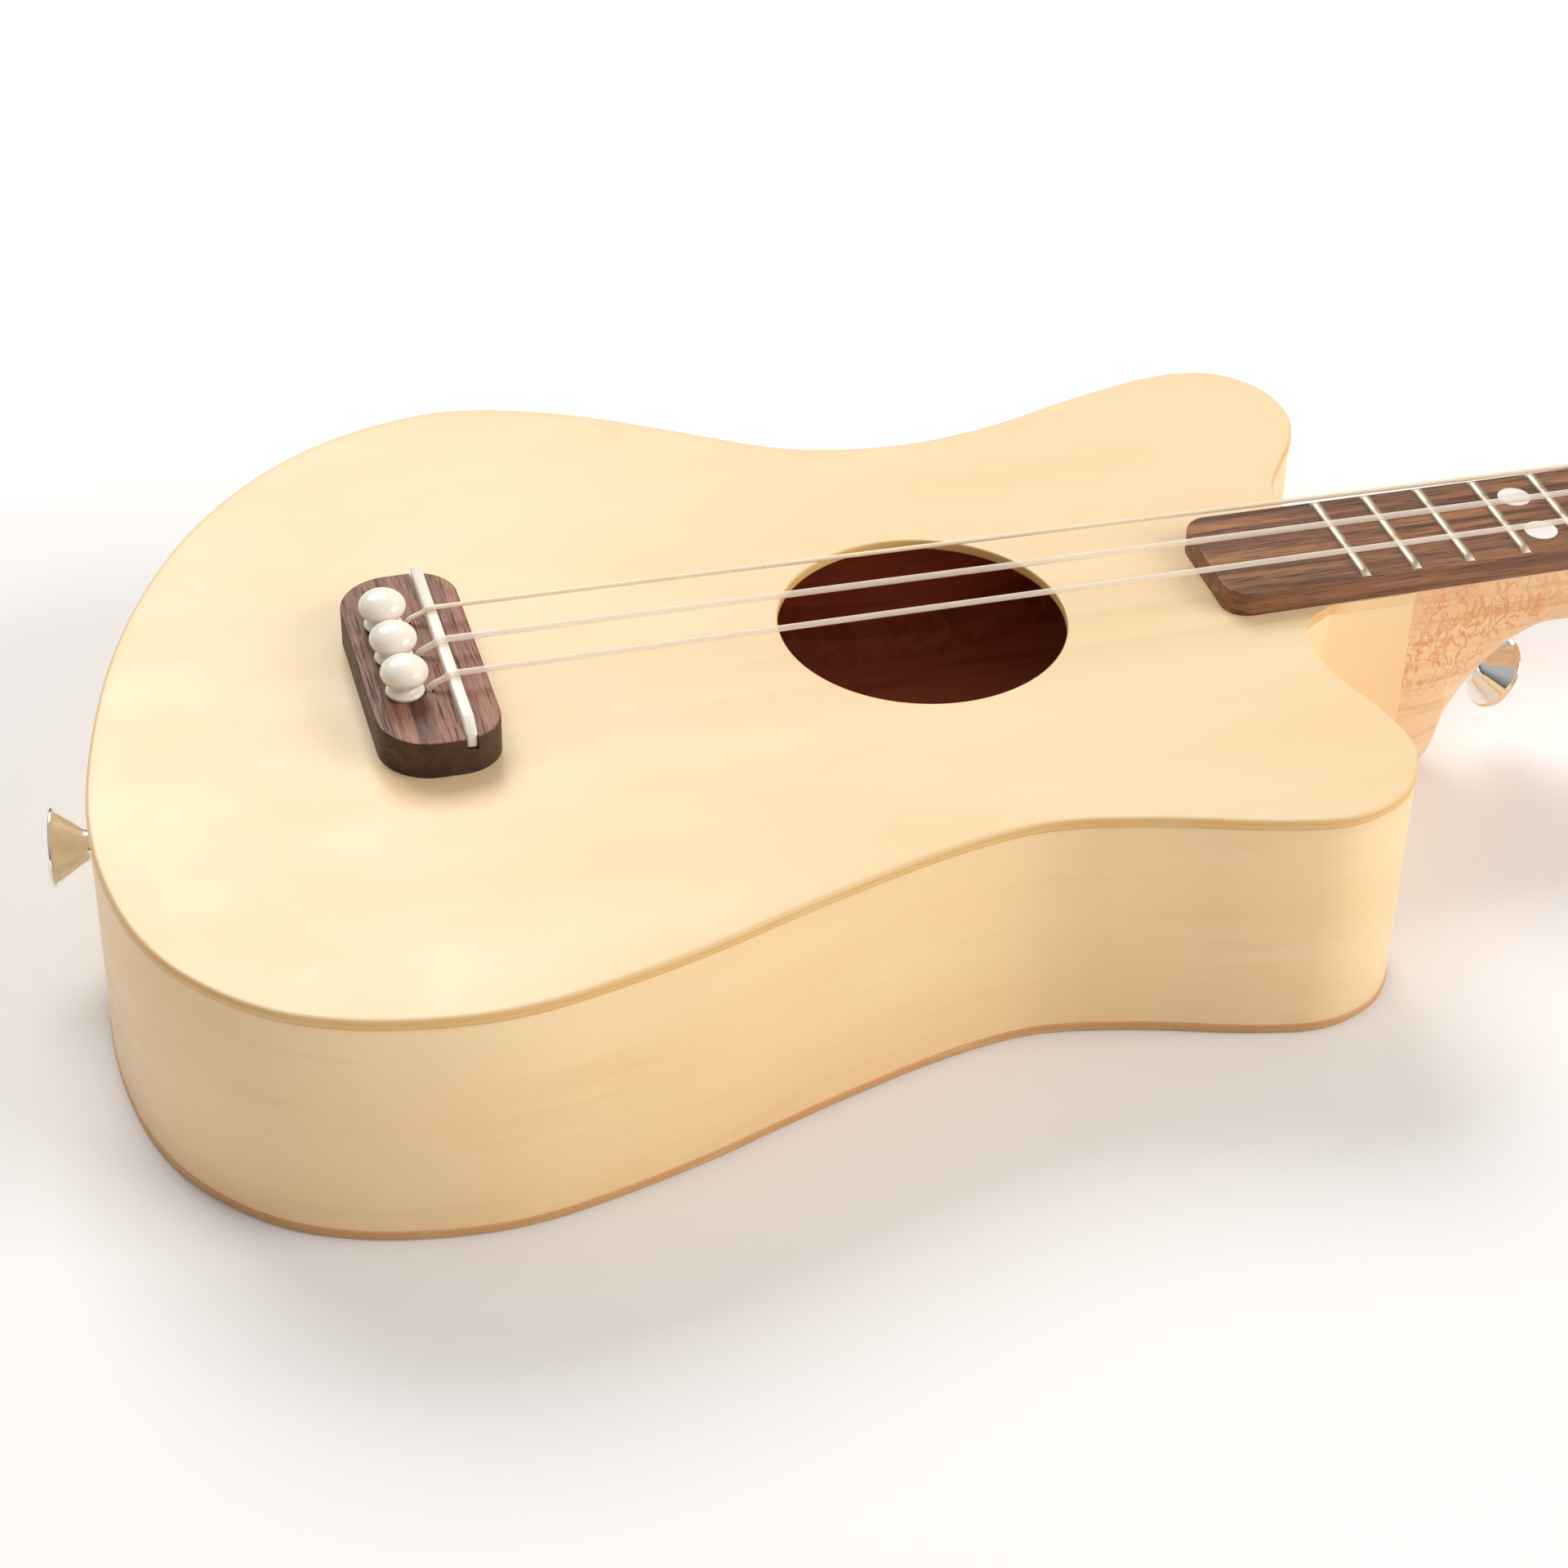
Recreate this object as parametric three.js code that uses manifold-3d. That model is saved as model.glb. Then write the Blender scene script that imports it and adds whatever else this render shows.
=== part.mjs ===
// Small three-string acoustic guitar with a flat plywood body and a bolted-on neck.
// Units are millimetres. +X runs along the strings from the saddle to the head, +Y is the
// bass side and +Z points out of the soundboard. The origin lies on the flat back, on the
// centreline, straight below the saddle. The guitar lies on its back.
import * as THREE from 'three';
import { mergeVertices } from 'three/addons/utils/BufferGeometryUtils.js';
import Module from 'manifold-3d';

const wasm = await Module();
wasm.setup();

// ---- Driving dimensions ----
const SCALE_LENGTH = 400;            // saddle to nut
const BODY_DEPTH = 47;               // outside of the back to the outside of the top
const PLATE = 2;                     // thickness of the top and back plates
const RIM = 3;                       // thickness of the bent side
const OVERHANG = 0.4;                // how far the plates stand out past the side
const GLUE_GAP = 0.1;                // between curved faces that are glued together
const REST_GAP = 0.3;                // between a piece and the turned piece beside it
const HOLE_X = 87.6;                 // soundhole centre
const HOLE_RADIUS = 26.2;
const NECK_JOINT_X = 178;            // plane where the heel meets the body
const TONGUE_HALF = 13.7;            // half-width of the body between the cutaways, at the neck
const BOARD_START_X = 141.6;         // body end of the fretboard
const BOARD_HALF_START = 13.4;
const BOARD_HALF_NUT = 12.2;
const BOARD = 4.7;                   // fretboard thickness
const FRETS = 15;
const FRET_HEIGHT = 0.8;
const FRET_WIDTH = 1.8;
const NECK_DEPTH = 16.9;             // wood under the fretboard
const BRIDGE_HEIGHT = 7.1;
const SADDLE_STAND = 2.1;            // saddle above the bridge
const STRING_Y_SADDLE = [10.4, 0, -10.4];
const STRING_Y_NUT = [7.5, 0, -7.5];
const STRING_RADIUS = [0.42, 0.6, 0.55];
const VOICES = ['bass', 'middle', 'treble'];
const PIN_X = -8.6;                  // bridge pins behind the saddle
const PIN_TRAVEL_HOLE = 2.75;        // radius of the pin hole
const STRING_DROP_X = PIN_X + 4.1;   // where a string goes down in front of its pin
const STRING_SLOT = 0.8;             // half-width of the slot that it goes down
const TUNER_PITCH = 22;              // post to post along the head
const TUNER_FIRST_X = 428;
const GEAR_TEETH = 14;

// ---- Heights worked out from the driving dimensions ----
const TOP_INSIDE = BODY_DEPTH - PLATE;
const BOARD_TOP = BODY_DEPTH + BOARD;
const BRIDGE_TOP = BODY_DEPTH + BRIDGE_HEIGHT;
const SADDLE_TOP = BRIDGE_TOP + SADDLE_STAND;
const NUT_X = SCALE_LENGTH;
const NUT_LENGTH = 4;
const STRING_Z_NUT = BOARD_TOP + 1.8;
const NUT_TOP = STRING_Z_NUT + 0.6;
const NECK_UNDER = BODY_DEPTH - NECK_DEPTH;
const HEAD_TOP = 44;
const HEAD_UNDER = 31;

// ---- Colours ----
const CREAM = 0xf3dcab;
const PALE_TAN = 0xe3bd8a;
const WALNUT = 0x5b3a2b;
const MAPLE = 0xe2b48c;
const SPRUCE = 0xd9bf90;
const IVORY = 0xf1ece0;
const NICKEL = 0xd5d2c8;
const STEEL = 0xb9bbbd;
const BRASS = 0xb5924c;
const NYLON = 0xeee7dc;

const guitar = new THREE.Group();

function addMesh(name, geometry, color, roughness, metalness, parent = guitar) {
  const material = new THREE.MeshStandardMaterial({ color, roughness, metalness });
  const mesh = new THREE.Mesh(geometry, material);
  mesh.name = name;
  parent.add(mesh);
  return mesh;
}

const addWood = (name, geometry, color, parent) => addMesh(name, geometry, color, 0.55, 0, parent);
const addMetal = (name, geometry, color, parent) => addMesh(name, geometry, color, 0.25, 1, parent);
const addPlastic = (name, geometry, color, parent) => addMesh(name, geometry, color, 0.3, 0, parent);

// ---- Joining and cutting ----
function toSolid(geometry) {
  const bare = new THREE.BufferGeometry();
  bare.setAttribute('position', geometry.getAttribute('position').clone());
  if (geometry.index) {
    bare.setIndex(geometry.index.clone());
  }
  const merged = mergeVertices(bare, 1e-4);
  const index = merged.index.array;
  const kept = [];
  for (let i = 0; i < index.length; i += 3) {
    const [a, b, c] = [index[i], index[i + 1], index[i + 2]];
    if (a !== b && b !== c && c !== a) {
      kept.push(a, b, c);
    }
  }
  return new wasm.Manifold(new wasm.Mesh({
    numProp: 3,
    vertProperties: Float32Array.from(merged.getAttribute('position').array),
    triVerts: Uint32Array.from(kept),
  }));
}

function toGeometry(solid) {
  const mesh = solid.getMesh();
  const geometry = new THREE.BufferGeometry();
  geometry.setAttribute('position', new THREE.BufferAttribute(mesh.vertProperties, 3));
  geometry.setIndex(new THREE.BufferAttribute(mesh.triVerts, 1));
  return geometry;
}

function cut(geometry, tools) {
  let solid = toSolid(geometry);
  for (const tool of tools) {
    solid = solid.subtract(toSolid(tool));
  }
  return toGeometry(solid);
}

// ---- Simple shapes placed by their limits ----
function block(x0, x1, y0, y1, z0, z1) {
  const box = new THREE.BoxGeometry(x1 - x0, y1 - y0, z1 - z0);
  return box.translate((x0 + x1) / 2, (y0 + y1) / 2, (z0 + z1) / 2);
}

function rodAlongZ(radius, x, y, z0, z1, sides = 16) {
  const rod = new THREE.CylinderGeometry(radius, radius, z1 - z0, sides);
  return rod.rotateX(Math.PI / 2).translate(x, y, (z0 + z1) / 2);
}

function rodAlongX(radius, x0, x1, y, z, sides = 16) {
  const rod = new THREE.CylinderGeometry(radius, radius, x1 - x0, sides);
  return rod.rotateZ(Math.PI / 2).translate((x0 + x1) / 2, y, z);
}

function rodAlongY(radius, x, y0, y1, z, sides = 16) {
  return new THREE.CylinderGeometry(radius, radius, y1 - y0, sides).translate(x, (y0 + y1) / 2, z);
}

// A turned piece standing along +Z, from [radius, height] pairs
function turned(profile, sides) {
  const points = profile.map(([radius, height]) => new THREE.Vector2(radius, height));
  return new THREE.LatheGeometry(points, sides).rotateX(Math.PI / 2);
}

function extrudeUp(points, z0, z1, holes = []) {
  const shape = new THREE.Shape(points);
  shape.holes = holes.map((hole) => new THREE.Path(hole));
  const geometry = new THREE.ExtrudeGeometry(shape, { depth: z1 - z0, bevelEnabled: false });
  return geometry.translate(0, 0, z0);
}

// ---- Body outline ----
// On-curve points from the bass side of the tongue round the body to its treble side
const BODY_POINTS = [
  [173.0, 13.7], [168.2, 15.4], [165.4, 21.5], [167.0, 28.8], [171.7, 36.2], [176.4, 43.2],
  [179.3, 52.0], [177.7, 62.4], [170.6, 70.2], [159.5, 72.2], [140.0, 67.9], [120.0, 61.5],
  [100.0, 59.0], [80.0, 62.7], [60.0, 74.4], [40.0, 85.8], [16.5, 92.0], [-10.0, 84.4],
  [-32.5, 65.2], [-50.0, 36.2], [-61.2, 1.2], [-65.1, -32.0], [-58.6, -61.6], [-40.8, -80.8],
  [-10.0, -88.4], [20.0, -82.9], [50.0, -72.6], [75.0, -65.2], [91.0, -63.2], [109.0, -66.5],
  [129.0, -72.4], [141.5, -74.0], [152.5, -69.2], [158.9, -58.0], [158.0, -47.0], [154.4, -35.6],
  [153.3, -25.4], [155.6, -17.4], [161.6, -13.7],
];

// Samples of the outline with the direction that points into the body. Each stretch between
// two points gets the same number of samples, so tight bends are the finest.
const STEPS_PER_POINT = 3;

function bodyCurve() {
  const corners = BODY_POINTS.map(([x, y]) => new THREE.Vector3(x, y, 0));
  const curve = new THREE.CatmullRomCurve3(corners, false, 'centripetal');
  const samples = (BODY_POINTS.length - 1) * STEPS_PER_POINT;
  const line = [];
  for (let i = 0; i <= samples; i += 1) {
    const point = curve.getPoint(i / samples);
    const tangent = curve.getTangent(i / samples);
    if (i === 0 || i === samples) {
      tangent.set(i === 0 ? -1 : 1, 0, 0);
    }
    line.push({ x: point.x, y: point.y, nx: -tangent.y, ny: tangent.x });
  }
  return line;
}

// The curved part of the outline moved inward by the inset, less some samples at each end
function bodyLine(inset, skip = 0) {
  const line = bodyCurve();
  const kept = line.slice(skip, line.length - skip);
  return kept.map((p) => new THREE.Vector2(p.x + p.nx * inset, p.y + p.ny * inset));
}

// The whole outline, closed across the end of the tongue
function bodyLoop(inset) {
  const end = TONGUE_HALF - inset;
  const close = [new THREE.Vector2(NECK_JOINT_X, -end), new THREE.Vector2(NECK_JOINT_X, end)];
  return [...bodyLine(inset), ...close];
}

// A plate made of outlines stacked from the lowest [inset, z] level to the highest
function stackedPlate(levels) {
  const loops = levels.map(([inset]) => bodyLoop(inset));
  const count = loops[0].length;
  const positions = [];
  levels.forEach(([, z], level) => {
    loops[level].forEach((p) => positions.push(p.x, p.y, z));
  });
  const index = [];
  for (let level = 0; level + 1 < levels.length; level += 1) {
    for (let i = 0; i < count; i += 1) {
      const a = level * count + i;
      const b = level * count + ((i + 1) % count);
      index.push(a, b, b + count, a, b + count, a + count);
    }
  }
  const last = (levels.length - 1) * count;
  THREE.ShapeUtils.triangulateShape(loops[0], []).forEach(([a, b, c]) => index.push(a, c, b));
  THREE.ShapeUtils.triangulateShape(loops[levels.length - 1], []).forEach(([a, b, c]) => {
    index.push(last + a, last + b, last + c);
  });
  const geometry = new THREE.BufferGeometry();
  geometry.setAttribute('position', new THREE.Float32BufferAttribute(positions, 3));
  geometry.setIndex(index);
  return geometry;
}

// Pin hole with a slot towards the saddle for the string
function pinHole(y, z0, z1) {
  const slot = block(PIN_X, STRING_DROP_X + STRING_SLOT, y - STRING_SLOT, y + STRING_SLOT, z0, z1);
  return toGeometry(toSolid(rodAlongZ(PIN_TRAVEL_HOLE, PIN_X, y, z0, z1)).add(toSolid(slot)));
}

function pinHoles(z0, z1) {
  return STRING_Y_SADDLE.map((y) => pinHole(y, z0, z1));
}

function buildPlates() {
  const lowerEdge = [[0.3, TOP_INSIDE], [0, TOP_INSIDE + 0.5]];
  const upperEdge = [[0, BODY_DEPTH - 1.1], [0.3, BODY_DEPTH - 0.3], [1, BODY_DEPTH]];
  const topLevels = [...lowerEdge, ...upperEdge];
  const backLevels = topLevels.map(([inset, z]) => [inset, BODY_DEPTH - z]).reverse();
  const soundhole = rodAlongZ(HOLE_RADIUS, HOLE_X, 0, TOP_INSIDE - 1, BODY_DEPTH + 1, 40);
  const top = cut(stackedPlate(topLevels),
    [soundhole, ...pinHoles(TOP_INSIDE - 1, BODY_DEPTH + 1)]);
  addWood('top_plate', top, CREAM);
  addWood('back_plate', stackedPlate(backLevels), CREAM);
}

// ---- Tail strap button: its axis is square to the rim, which is turned here ----
const TAIL_TURN = THREE.MathUtils.degToRad(-9);
const TAIL_FACE = new THREE.Vector3(-61.3 + OVERHANG, 0, BODY_DEPTH / 2);
const BUTTON_HEIGHT = 9.4;
const BUTTON_BORE = 2.2;
const SCREW_RADIUS = 1.8;

function tailScrewHole() {
  const rod = rodAlongX(BUTTON_BORE, -4, 22, 0, 0);
  return rod.rotateZ(TAIL_TURN).translate(TAIL_FACE.x, TAIL_FACE.y, TAIL_FACE.z);
}

// A strip that follows the side between two insets and leaves the tongue end open. It reaches
// the neck when no samples are skipped.
function sideStrip(insetOut, insetIn, skip, z0, z1) {
  const reachNeck = skip === 0;
  const outer = bodyLine(insetOut, skip);
  const inner = bodyLine(insetIn, skip);
  if (reachNeck) {
    const outEnd = TONGUE_HALF - insetOut;
    const inEnd = TONGUE_HALF - insetIn;
    outer.unshift(new THREE.Vector2(NECK_JOINT_X, outEnd));
    outer.push(new THREE.Vector2(NECK_JOINT_X, -outEnd));
    inner.unshift(new THREE.Vector2(NECK_JOINT_X, inEnd));
    inner.push(new THREE.Vector2(NECK_JOINT_X, -inEnd));
  }
  return extrudeUp([...outer, ...inner.reverse()], z0, z1);
}

const RIM_INSIDE = OVERHANG + RIM;
const LINING_WIDTH = 5.5;
const LINING_HEIGHT = 6;
const LINING_SKIP = 9;               // samples left out at each end, short of the neck block

function buildSide() {
  const rim = sideStrip(OVERHANG, RIM_INSIDE, 0, PLATE, TOP_INSIDE);
  addWood('rim', cut(rim, [tailScrewHole()]), PALE_TAN);
  const liningOut = RIM_INSIDE + GLUE_GAP;
  const strip = (z0, z1) => sideStrip(liningOut, liningOut + LINING_WIDTH, LINING_SKIP, z0, z1);
  addWood('top_lining', strip(TOP_INSIDE - LINING_HEIGHT, TOP_INSIDE), SPRUCE);
  addWood('back_lining', strip(PLATE, PLATE + LINING_HEIGHT), SPRUCE);
}

// ---- Blocks and braces inside the body ----
const TAIL_BLOCK_DEPTH = 20;
const TAIL_BLOCK_HALF = 30;
const NECK_BLOCK_X = 138;
const BOLT_HEIGHTS = [36, 8];
const BOLT_RADIUS = 3;
const BOLT_NAMES = ['upper', 'lower'];

function buildBlocks() {
  const inside = RIM_INSIDE + GLUE_GAP;
  const room = toSolid(extrudeUp(bodyLoop(inside), PLATE, TOP_INSIDE));
  const frontFace = TAIL_FACE.x + RIM + TAIL_BLOCK_DEPTH;
  const bite = toSolid(block(-80, frontFace, -TAIL_BLOCK_HALF, TAIL_BLOCK_HALF, 0, 50));
  const rebateIn = inside + LINING_WIDTH + 2 * GLUE_GAP;
  const rebate = (z0, z1) => toSolid(sideStrip(OVERHANG, rebateIn, LINING_SKIP, z0, z1));
  const tail = room.intersect(bite)
    .subtract(rebate(0, PLATE + LINING_HEIGHT + GLUE_GAP))
    .subtract(rebate(TOP_INSIDE - LINING_HEIGHT - GLUE_GAP, 50))
    .subtract(toSolid(tailScrewHole()));
  addWood('tail_block', toGeometry(tail), SPRUCE);

  const half = TONGUE_HALF - inside;
  const bore = BOLT_RADIUS + REST_GAP;
  const bores = BOLT_HEIGHTS.map((z) => rodAlongX(bore, NECK_BLOCK_X - 1, NECK_JOINT_X + 1, 0, z));
  const neckBlock = cut(block(NECK_BLOCK_X, NECK_JOINT_X, -half, half, PLATE, TOP_INSIDE), bores);
  addWood('neck_block', neckBlock, SPRUCE);
}

// Cross braces: [name, x, treble end, bass end, on the top]
const BRACES = [
  ['top_brace_upper', 126, -58, 50, true],
  ['top_brace_lower', 46, -60, 70, true],
  ['back_brace_upper', 66, -56, 58, false],
  ['back_brace_lower', 24, -68, 78, false],
];
const BRACE_WIDTH = 6;
const BRACE_HEIGHT = 8;

function buildBraces() {
  for (const [name, x, y0, y1, onTop] of BRACES) {
    const foot = onTop ? TOP_INSIDE : PLATE;
    const ridge = onTop ? TOP_INSIDE - BRACE_HEIGHT : PLATE + BRACE_HEIGHT;
    const profile = [[y0, foot], [y1, foot], [y1 - 14, ridge], [y0 + 14, ridge]];
    const shape = new THREE.Shape(profile.map(([y, z]) => new THREE.Vector2(y, z)));
    const brace = new THREE.ExtrudeGeometry(shape, { depth: BRACE_WIDTH, bevelEnabled: false });
    brace.rotateY(Math.PI / 2).rotateX(Math.PI / 2).translate(x - BRACE_WIDTH / 2, 0, 0);
    addWood(name, brace, SPRUCE);
  }
  const plate = block(-22, 14, -32, 32, TOP_INSIDE - 2.2, TOP_INSIDE);
  addWood('bridge_plate', cut(plate, pinHoles(TOP_INSIDE - 4, TOP_INSIDE + 1)), MAPLE);
}

// ---- Bridge, saddle and pins ----
const BRIDGE_BACK = -15;
const BRIDGE_FRONT = 6.2;
const BRIDGE_HALF = 26.2;
const BRIDGE_BACK_CORNER = 9.5;
const BRIDGE_FRONT_CORNER = 7.5;
const SADDLE_HALF = 25.3;
const SADDLE_WIDTH = 2;
const SLOT_DEPTH = 2.7;

function bridgeOutline() {
  const path = new THREE.Shape();
  const rb = BRIDGE_BACK_CORNER;
  const rf = BRIDGE_FRONT_CORNER;
  const quarter = Math.PI / 2;
  path.absarc(BRIDGE_FRONT - rf, BRIDGE_HALF - rf, rf, 0, quarter);
  path.absarc(BRIDGE_BACK + rb, BRIDGE_HALF - rb, rb, quarter, 2 * quarter);
  path.absarc(BRIDGE_BACK + rb, rb - BRIDGE_HALF, rb, 2 * quarter, 3 * quarter);
  path.absarc(BRIDGE_FRONT - rf, rf - BRIDGE_HALF, rf, 3 * quarter, 4 * quarter);
  return path;
}

function buildBridge() {
  const depth = BRIDGE_HEIGHT;
  const settings = { depth, bevelEnabled: false, curveSegments: 4 };
  const blank = new THREE.ExtrudeGeometry(bridgeOutline(), settings).translate(0, 0, BODY_DEPTH);
  const half = SADDLE_WIDTH / 2;
  const slot = block(-half, half, -40, 40, BRIDGE_TOP - SLOT_DEPTH, BRIDGE_TOP + 5);
  addWood('bridge', cut(blank, [slot, ...pinHoles(BODY_DEPTH - 1, BRIDGE_TOP + 1)]), WALNUT);
}

function buildSaddle() {
  const half = SADDLE_WIDTH / 2;
  const bottom = BRIDGE_TOP - SLOT_DEPTH;
  const profile = [[-half, bottom], [half, bottom], [half, SADDLE_TOP - 0.6], [0.4, SADDLE_TOP],
    [-0.4, SADDLE_TOP], [-half, SADDLE_TOP - 0.6]];
  const shape = new THREE.Shape(profile.map(([x, z]) => new THREE.Vector2(x, z)));
  const bar = new THREE.ExtrudeGeometry(shape, { depth: 2 * SADDLE_HALF, bevelEnabled: false });
  addPlastic('saddle', bar.rotateX(Math.PI / 2).translate(0, SADDLE_HALF, 0), IVORY);
}

const PIN_BALL = 4.15;
const PIN_BALL_HALF_HEIGHT = 2.7;
const PIN_BALL_Z = 4.46;

// Pin with a flattened ball for a head, standing with the underside of its collar at height 0
function pinGeometry() {
  const shaft = [[0, -20], [1.7, -19.4], [2.4, -0.2], [2.4, 0]];
  const collar = [[2.95, 0], [3.35, 0.6], [3.35, 1], [2.9, 1.35], [2.3, 1.65]];
  const profile = [...shaft, ...collar];
  for (let degrees = -55; degrees < 90; degrees += 20) {
    const angle = THREE.MathUtils.degToRad(degrees);
    const height = PIN_BALL_Z + PIN_BALL_HALF_HEIGHT * Math.sin(angle);
    profile.push([PIN_BALL * Math.cos(angle), height]);
  }
  profile.push([0, PIN_BALL_Z + PIN_BALL_HALF_HEIGHT]);
  return turned(profile, 12);
}

function buildPins() {
  VOICES.forEach((voice, i) => {
    const pin = addPlastic(`bridge_pin_${voice}`, pinGeometry(), IVORY);
    pin.position.set(PIN_X, STRING_Y_SADDLE[i], BRIDGE_TOP);
  });
}

// ---- Strap buttons and their screws, standing along +Z from the wood ----
function buttonGeometry() {
  const h = BUTTON_HEIGHT;
  const foot = [[BUTTON_BORE, 0], [3.3, 0], [3.3, 0.9], [2.9, 1.2], [2.9, 3.8]];
  const flange = [[6.8, h - 1.2], [7.1, h - 0.7], [6.7, h], [3.9, h]];
  return turned([...foot, ...flange, [BUTTON_BORE, h - 2.2], [BUTTON_BORE, 0]], 20);
}

function screwGeometry() {
  const h = BUTTON_HEIGHT;
  const shank = [[0, -17], [0.6, -16.6], [SCREW_RADIUS, -13], [SCREW_RADIUS, h - 2.4]];
  return turned([...shank, [3.5, h - 0.5], [3.4, h - 0.2], [0, h - 0.2]], 12);
}

// The heel button is square to the back of the heel, so it points partly down
const HEEL_TILT = THREE.MathUtils.degToRad(30);
const HEEL_BUTTON = new THREE.Vector3(196.7, 0, 20.3);

function buildStrapButtons() {
  const tail = new THREE.Group();
  tail.position.copy(TAIL_FACE);
  tail.rotation.z = TAIL_TURN;
  const tailPost = new THREE.Group();
  tailPost.rotation.y = -Math.PI / 2;
  tailPost.position.x = -REST_GAP;
  tail.add(tailPost);
  const heel = new THREE.Group();
  heel.position.copy(HEEL_BUTTON);
  heel.rotation.y = Math.PI / 2 + HEEL_TILT;
  guitar.add(tail, heel);
  [['tail', tailPost], ['heel', heel]].forEach(([place, parent]) => {
    addMetal(`strap_button_${place}`, buttonGeometry(), STEEL, parent);
    addMetal(`strap_screw_${place}`, screwGeometry(), STEEL, parent);
  });
}

// ---- Neck ----
const HEEL_END = 188.2;              // foot of the heel's back on the centreline
const SCOOP_END = 208.8;             // where the scoop runs out into the neck
const SCOOP_POWER = 1.25;            // 1 is a quarter ellipse, more is flatter
const SIDE_FLAT = 3.5;               // straight side above the rounded back of the neck
const HEAD_JOIN = 412;
const SECTION_STEPS = 8;

function boardHalf(x) {
  const share = (NUT_X - x) / (NUT_X - BOARD_START_X);
  return BOARD_HALF_NUT + (BOARD_HALF_START - BOARD_HALF_NUT) * share;
}

function neckHalf(x) {
  return boardHalf(Math.min(x, NUT_X));
}

// One section across the neck: a superellipse under two straight sides
function neckSection(x, underside, power, top) {
  const half = neckHalf(x);
  const shoulder = top - SIDE_FLAT;
  const section = [new THREE.Vector3(x, half, top)];
  for (let step = -SECTION_STEPS; step <= SECTION_STEPS; step += 1) {
    const angle = (step / SECTION_STEPS) * (Math.PI / 2);
    const y = -half * Math.sign(angle) * Math.abs(Math.sin(angle)) ** (2 / power);
    const z = shoulder - (shoulder - underside) * Math.abs(Math.cos(angle)) ** (2 / power);
    section.push(new THREE.Vector3(x, y, z));
  }
  section.push(new THREE.Vector3(x, -half, top));
  return section;
}

// The squareness of the heel fades from the body joint to its back
function neckSections() {
  const sections = [];
  const heel = [[NECK_JOINT_X, 8], [181.7, 5], [185.5, 3.2]];
  heel.forEach(([x, power]) => sections.push(neckSection(x, 0, power, BODY_DEPTH)));
  for (let degrees = 0; degrees <= 90; degrees += 15) {
    const angle = THREE.MathUtils.degToRad(degrees);
    const x = SCOOP_END - (SCOOP_END - HEEL_END) * Math.cos(angle) ** SCOOP_POWER;
    const underside = NECK_UNDER * Math.sin(angle) ** SCOOP_POWER;
    const power = 2.35 + 0.15 * Math.cos(angle) ** 2;
    sections.push(neckSection(x, underside, power, BODY_DEPTH));
  }
  for (const x of [300, NUT_X, NUT_X + NUT_LENGTH]) {
    sections.push(neckSection(x, NECK_UNDER, 2.4, BODY_DEPTH));
  }
  sections.push(neckSection(NUT_X + NUT_LENGTH + 4, NECK_UNDER + 0.3, 2.8, HEAD_TOP + 1.1));
  sections.push(neckSection(HEAD_JOIN, HEAD_UNDER, 4, HEAD_TOP));
  return sections;
}

function loft(sections) {
  const count = sections[0].length;
  const positions = sections.flat().flatMap((p) => [p.x, p.y, p.z]);
  const index = [];
  for (let row = 0; row + 1 < sections.length; row += 1) {
    for (let i = 0; i < count; i += 1) {
      const a = row * count + i;
      const b = row * count + ((i + 1) % count);
      index.push(a, a + count, b, b, a + count, b + count);
    }
  }
  const last = (sections.length - 1) * count;
  for (let i = 1; i + 1 < count; i += 1) {
    index.push(0, i, i + 1, last, last + i + 1, last + i);
  }
  const geometry = new THREE.BufferGeometry();
  geometry.setAttribute('position', new THREE.Float32BufferAttribute(positions, 3));
  geometry.setIndex(index);
  return geometry;
}

const POST_X = VOICES.map((voice, i) => TUNER_FIRST_X + TUNER_PITCH * i);
const POST_Y = STRING_Y_NUT.map((y) => y + 3.2);
const POST_HOLE = 4.5;

// Head that slants with the row of posts, with rounded corners and tip
function headOutline() {
  const edge = 10.5;
  const shape = new THREE.Shape();
  shape.moveTo(404, -12.1);
  shape.lineTo(404, 12.1);
  shape.bezierCurveTo(410, 12.5, 412, 20, 420, POST_Y[0] + edge + 2);
  const shoulder = POST_Y[0] + edge;
  shape.bezierCurveTo(423, shoulder + 2.6, 426, shoulder + 0.8, POST_X[0], shoulder);
  shape.lineTo(POST_X[2] + 8, POST_Y[2] + edge - 2.7);
  shape.bezierCurveTo(497, -0.4, 497, -20, 484, -18.6);
  shape.bezierCurveTo(460, -16.4, 430, -16, 418, -13.4);
  shape.lineTo(404, -12.1);
  return shape;
}

function buildNeck() {
  const head = new THREE.ExtrudeGeometry(headOutline(), {
    depth: HEAD_TOP - HEAD_UNDER, bevelEnabled: false, curveSegments: 7,
  }).translate(0, 0, HEAD_UNDER);
  let neck = toSolid(loft(neckSections())).add(toSolid(head));
  const toHeelButton = (rod) => rod.rotateY(HEEL_TILT).translate(HEEL_BUTTON.x, 0, HEEL_BUTTON.z);
  const heelScrew = toHeelButton(rodAlongX(BUTTON_BORE, -18, 6, 0, 0));
  const spotFace = toHeelButton(rodAlongX(3.6, -REST_GAP, 6, 0, 0, 20));
  const bore = BOLT_RADIUS + REST_GAP;
  const bolts = BOLT_HEIGHTS.map((z) => rodAlongX(bore, NECK_JOINT_X - 1, 187, 0, z));
  const posts = VOICES.map((voice, i) => rodAlongZ(POST_HOLE, POST_X[i], POST_Y[i], 20, 60));
  for (const tool of [heelScrew, spotFace, ...bolts, ...posts]) {
    neck = neck.subtract(toSolid(tool));
  }
  addWood('neck', toGeometry(neck), MAPLE);
}

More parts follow.
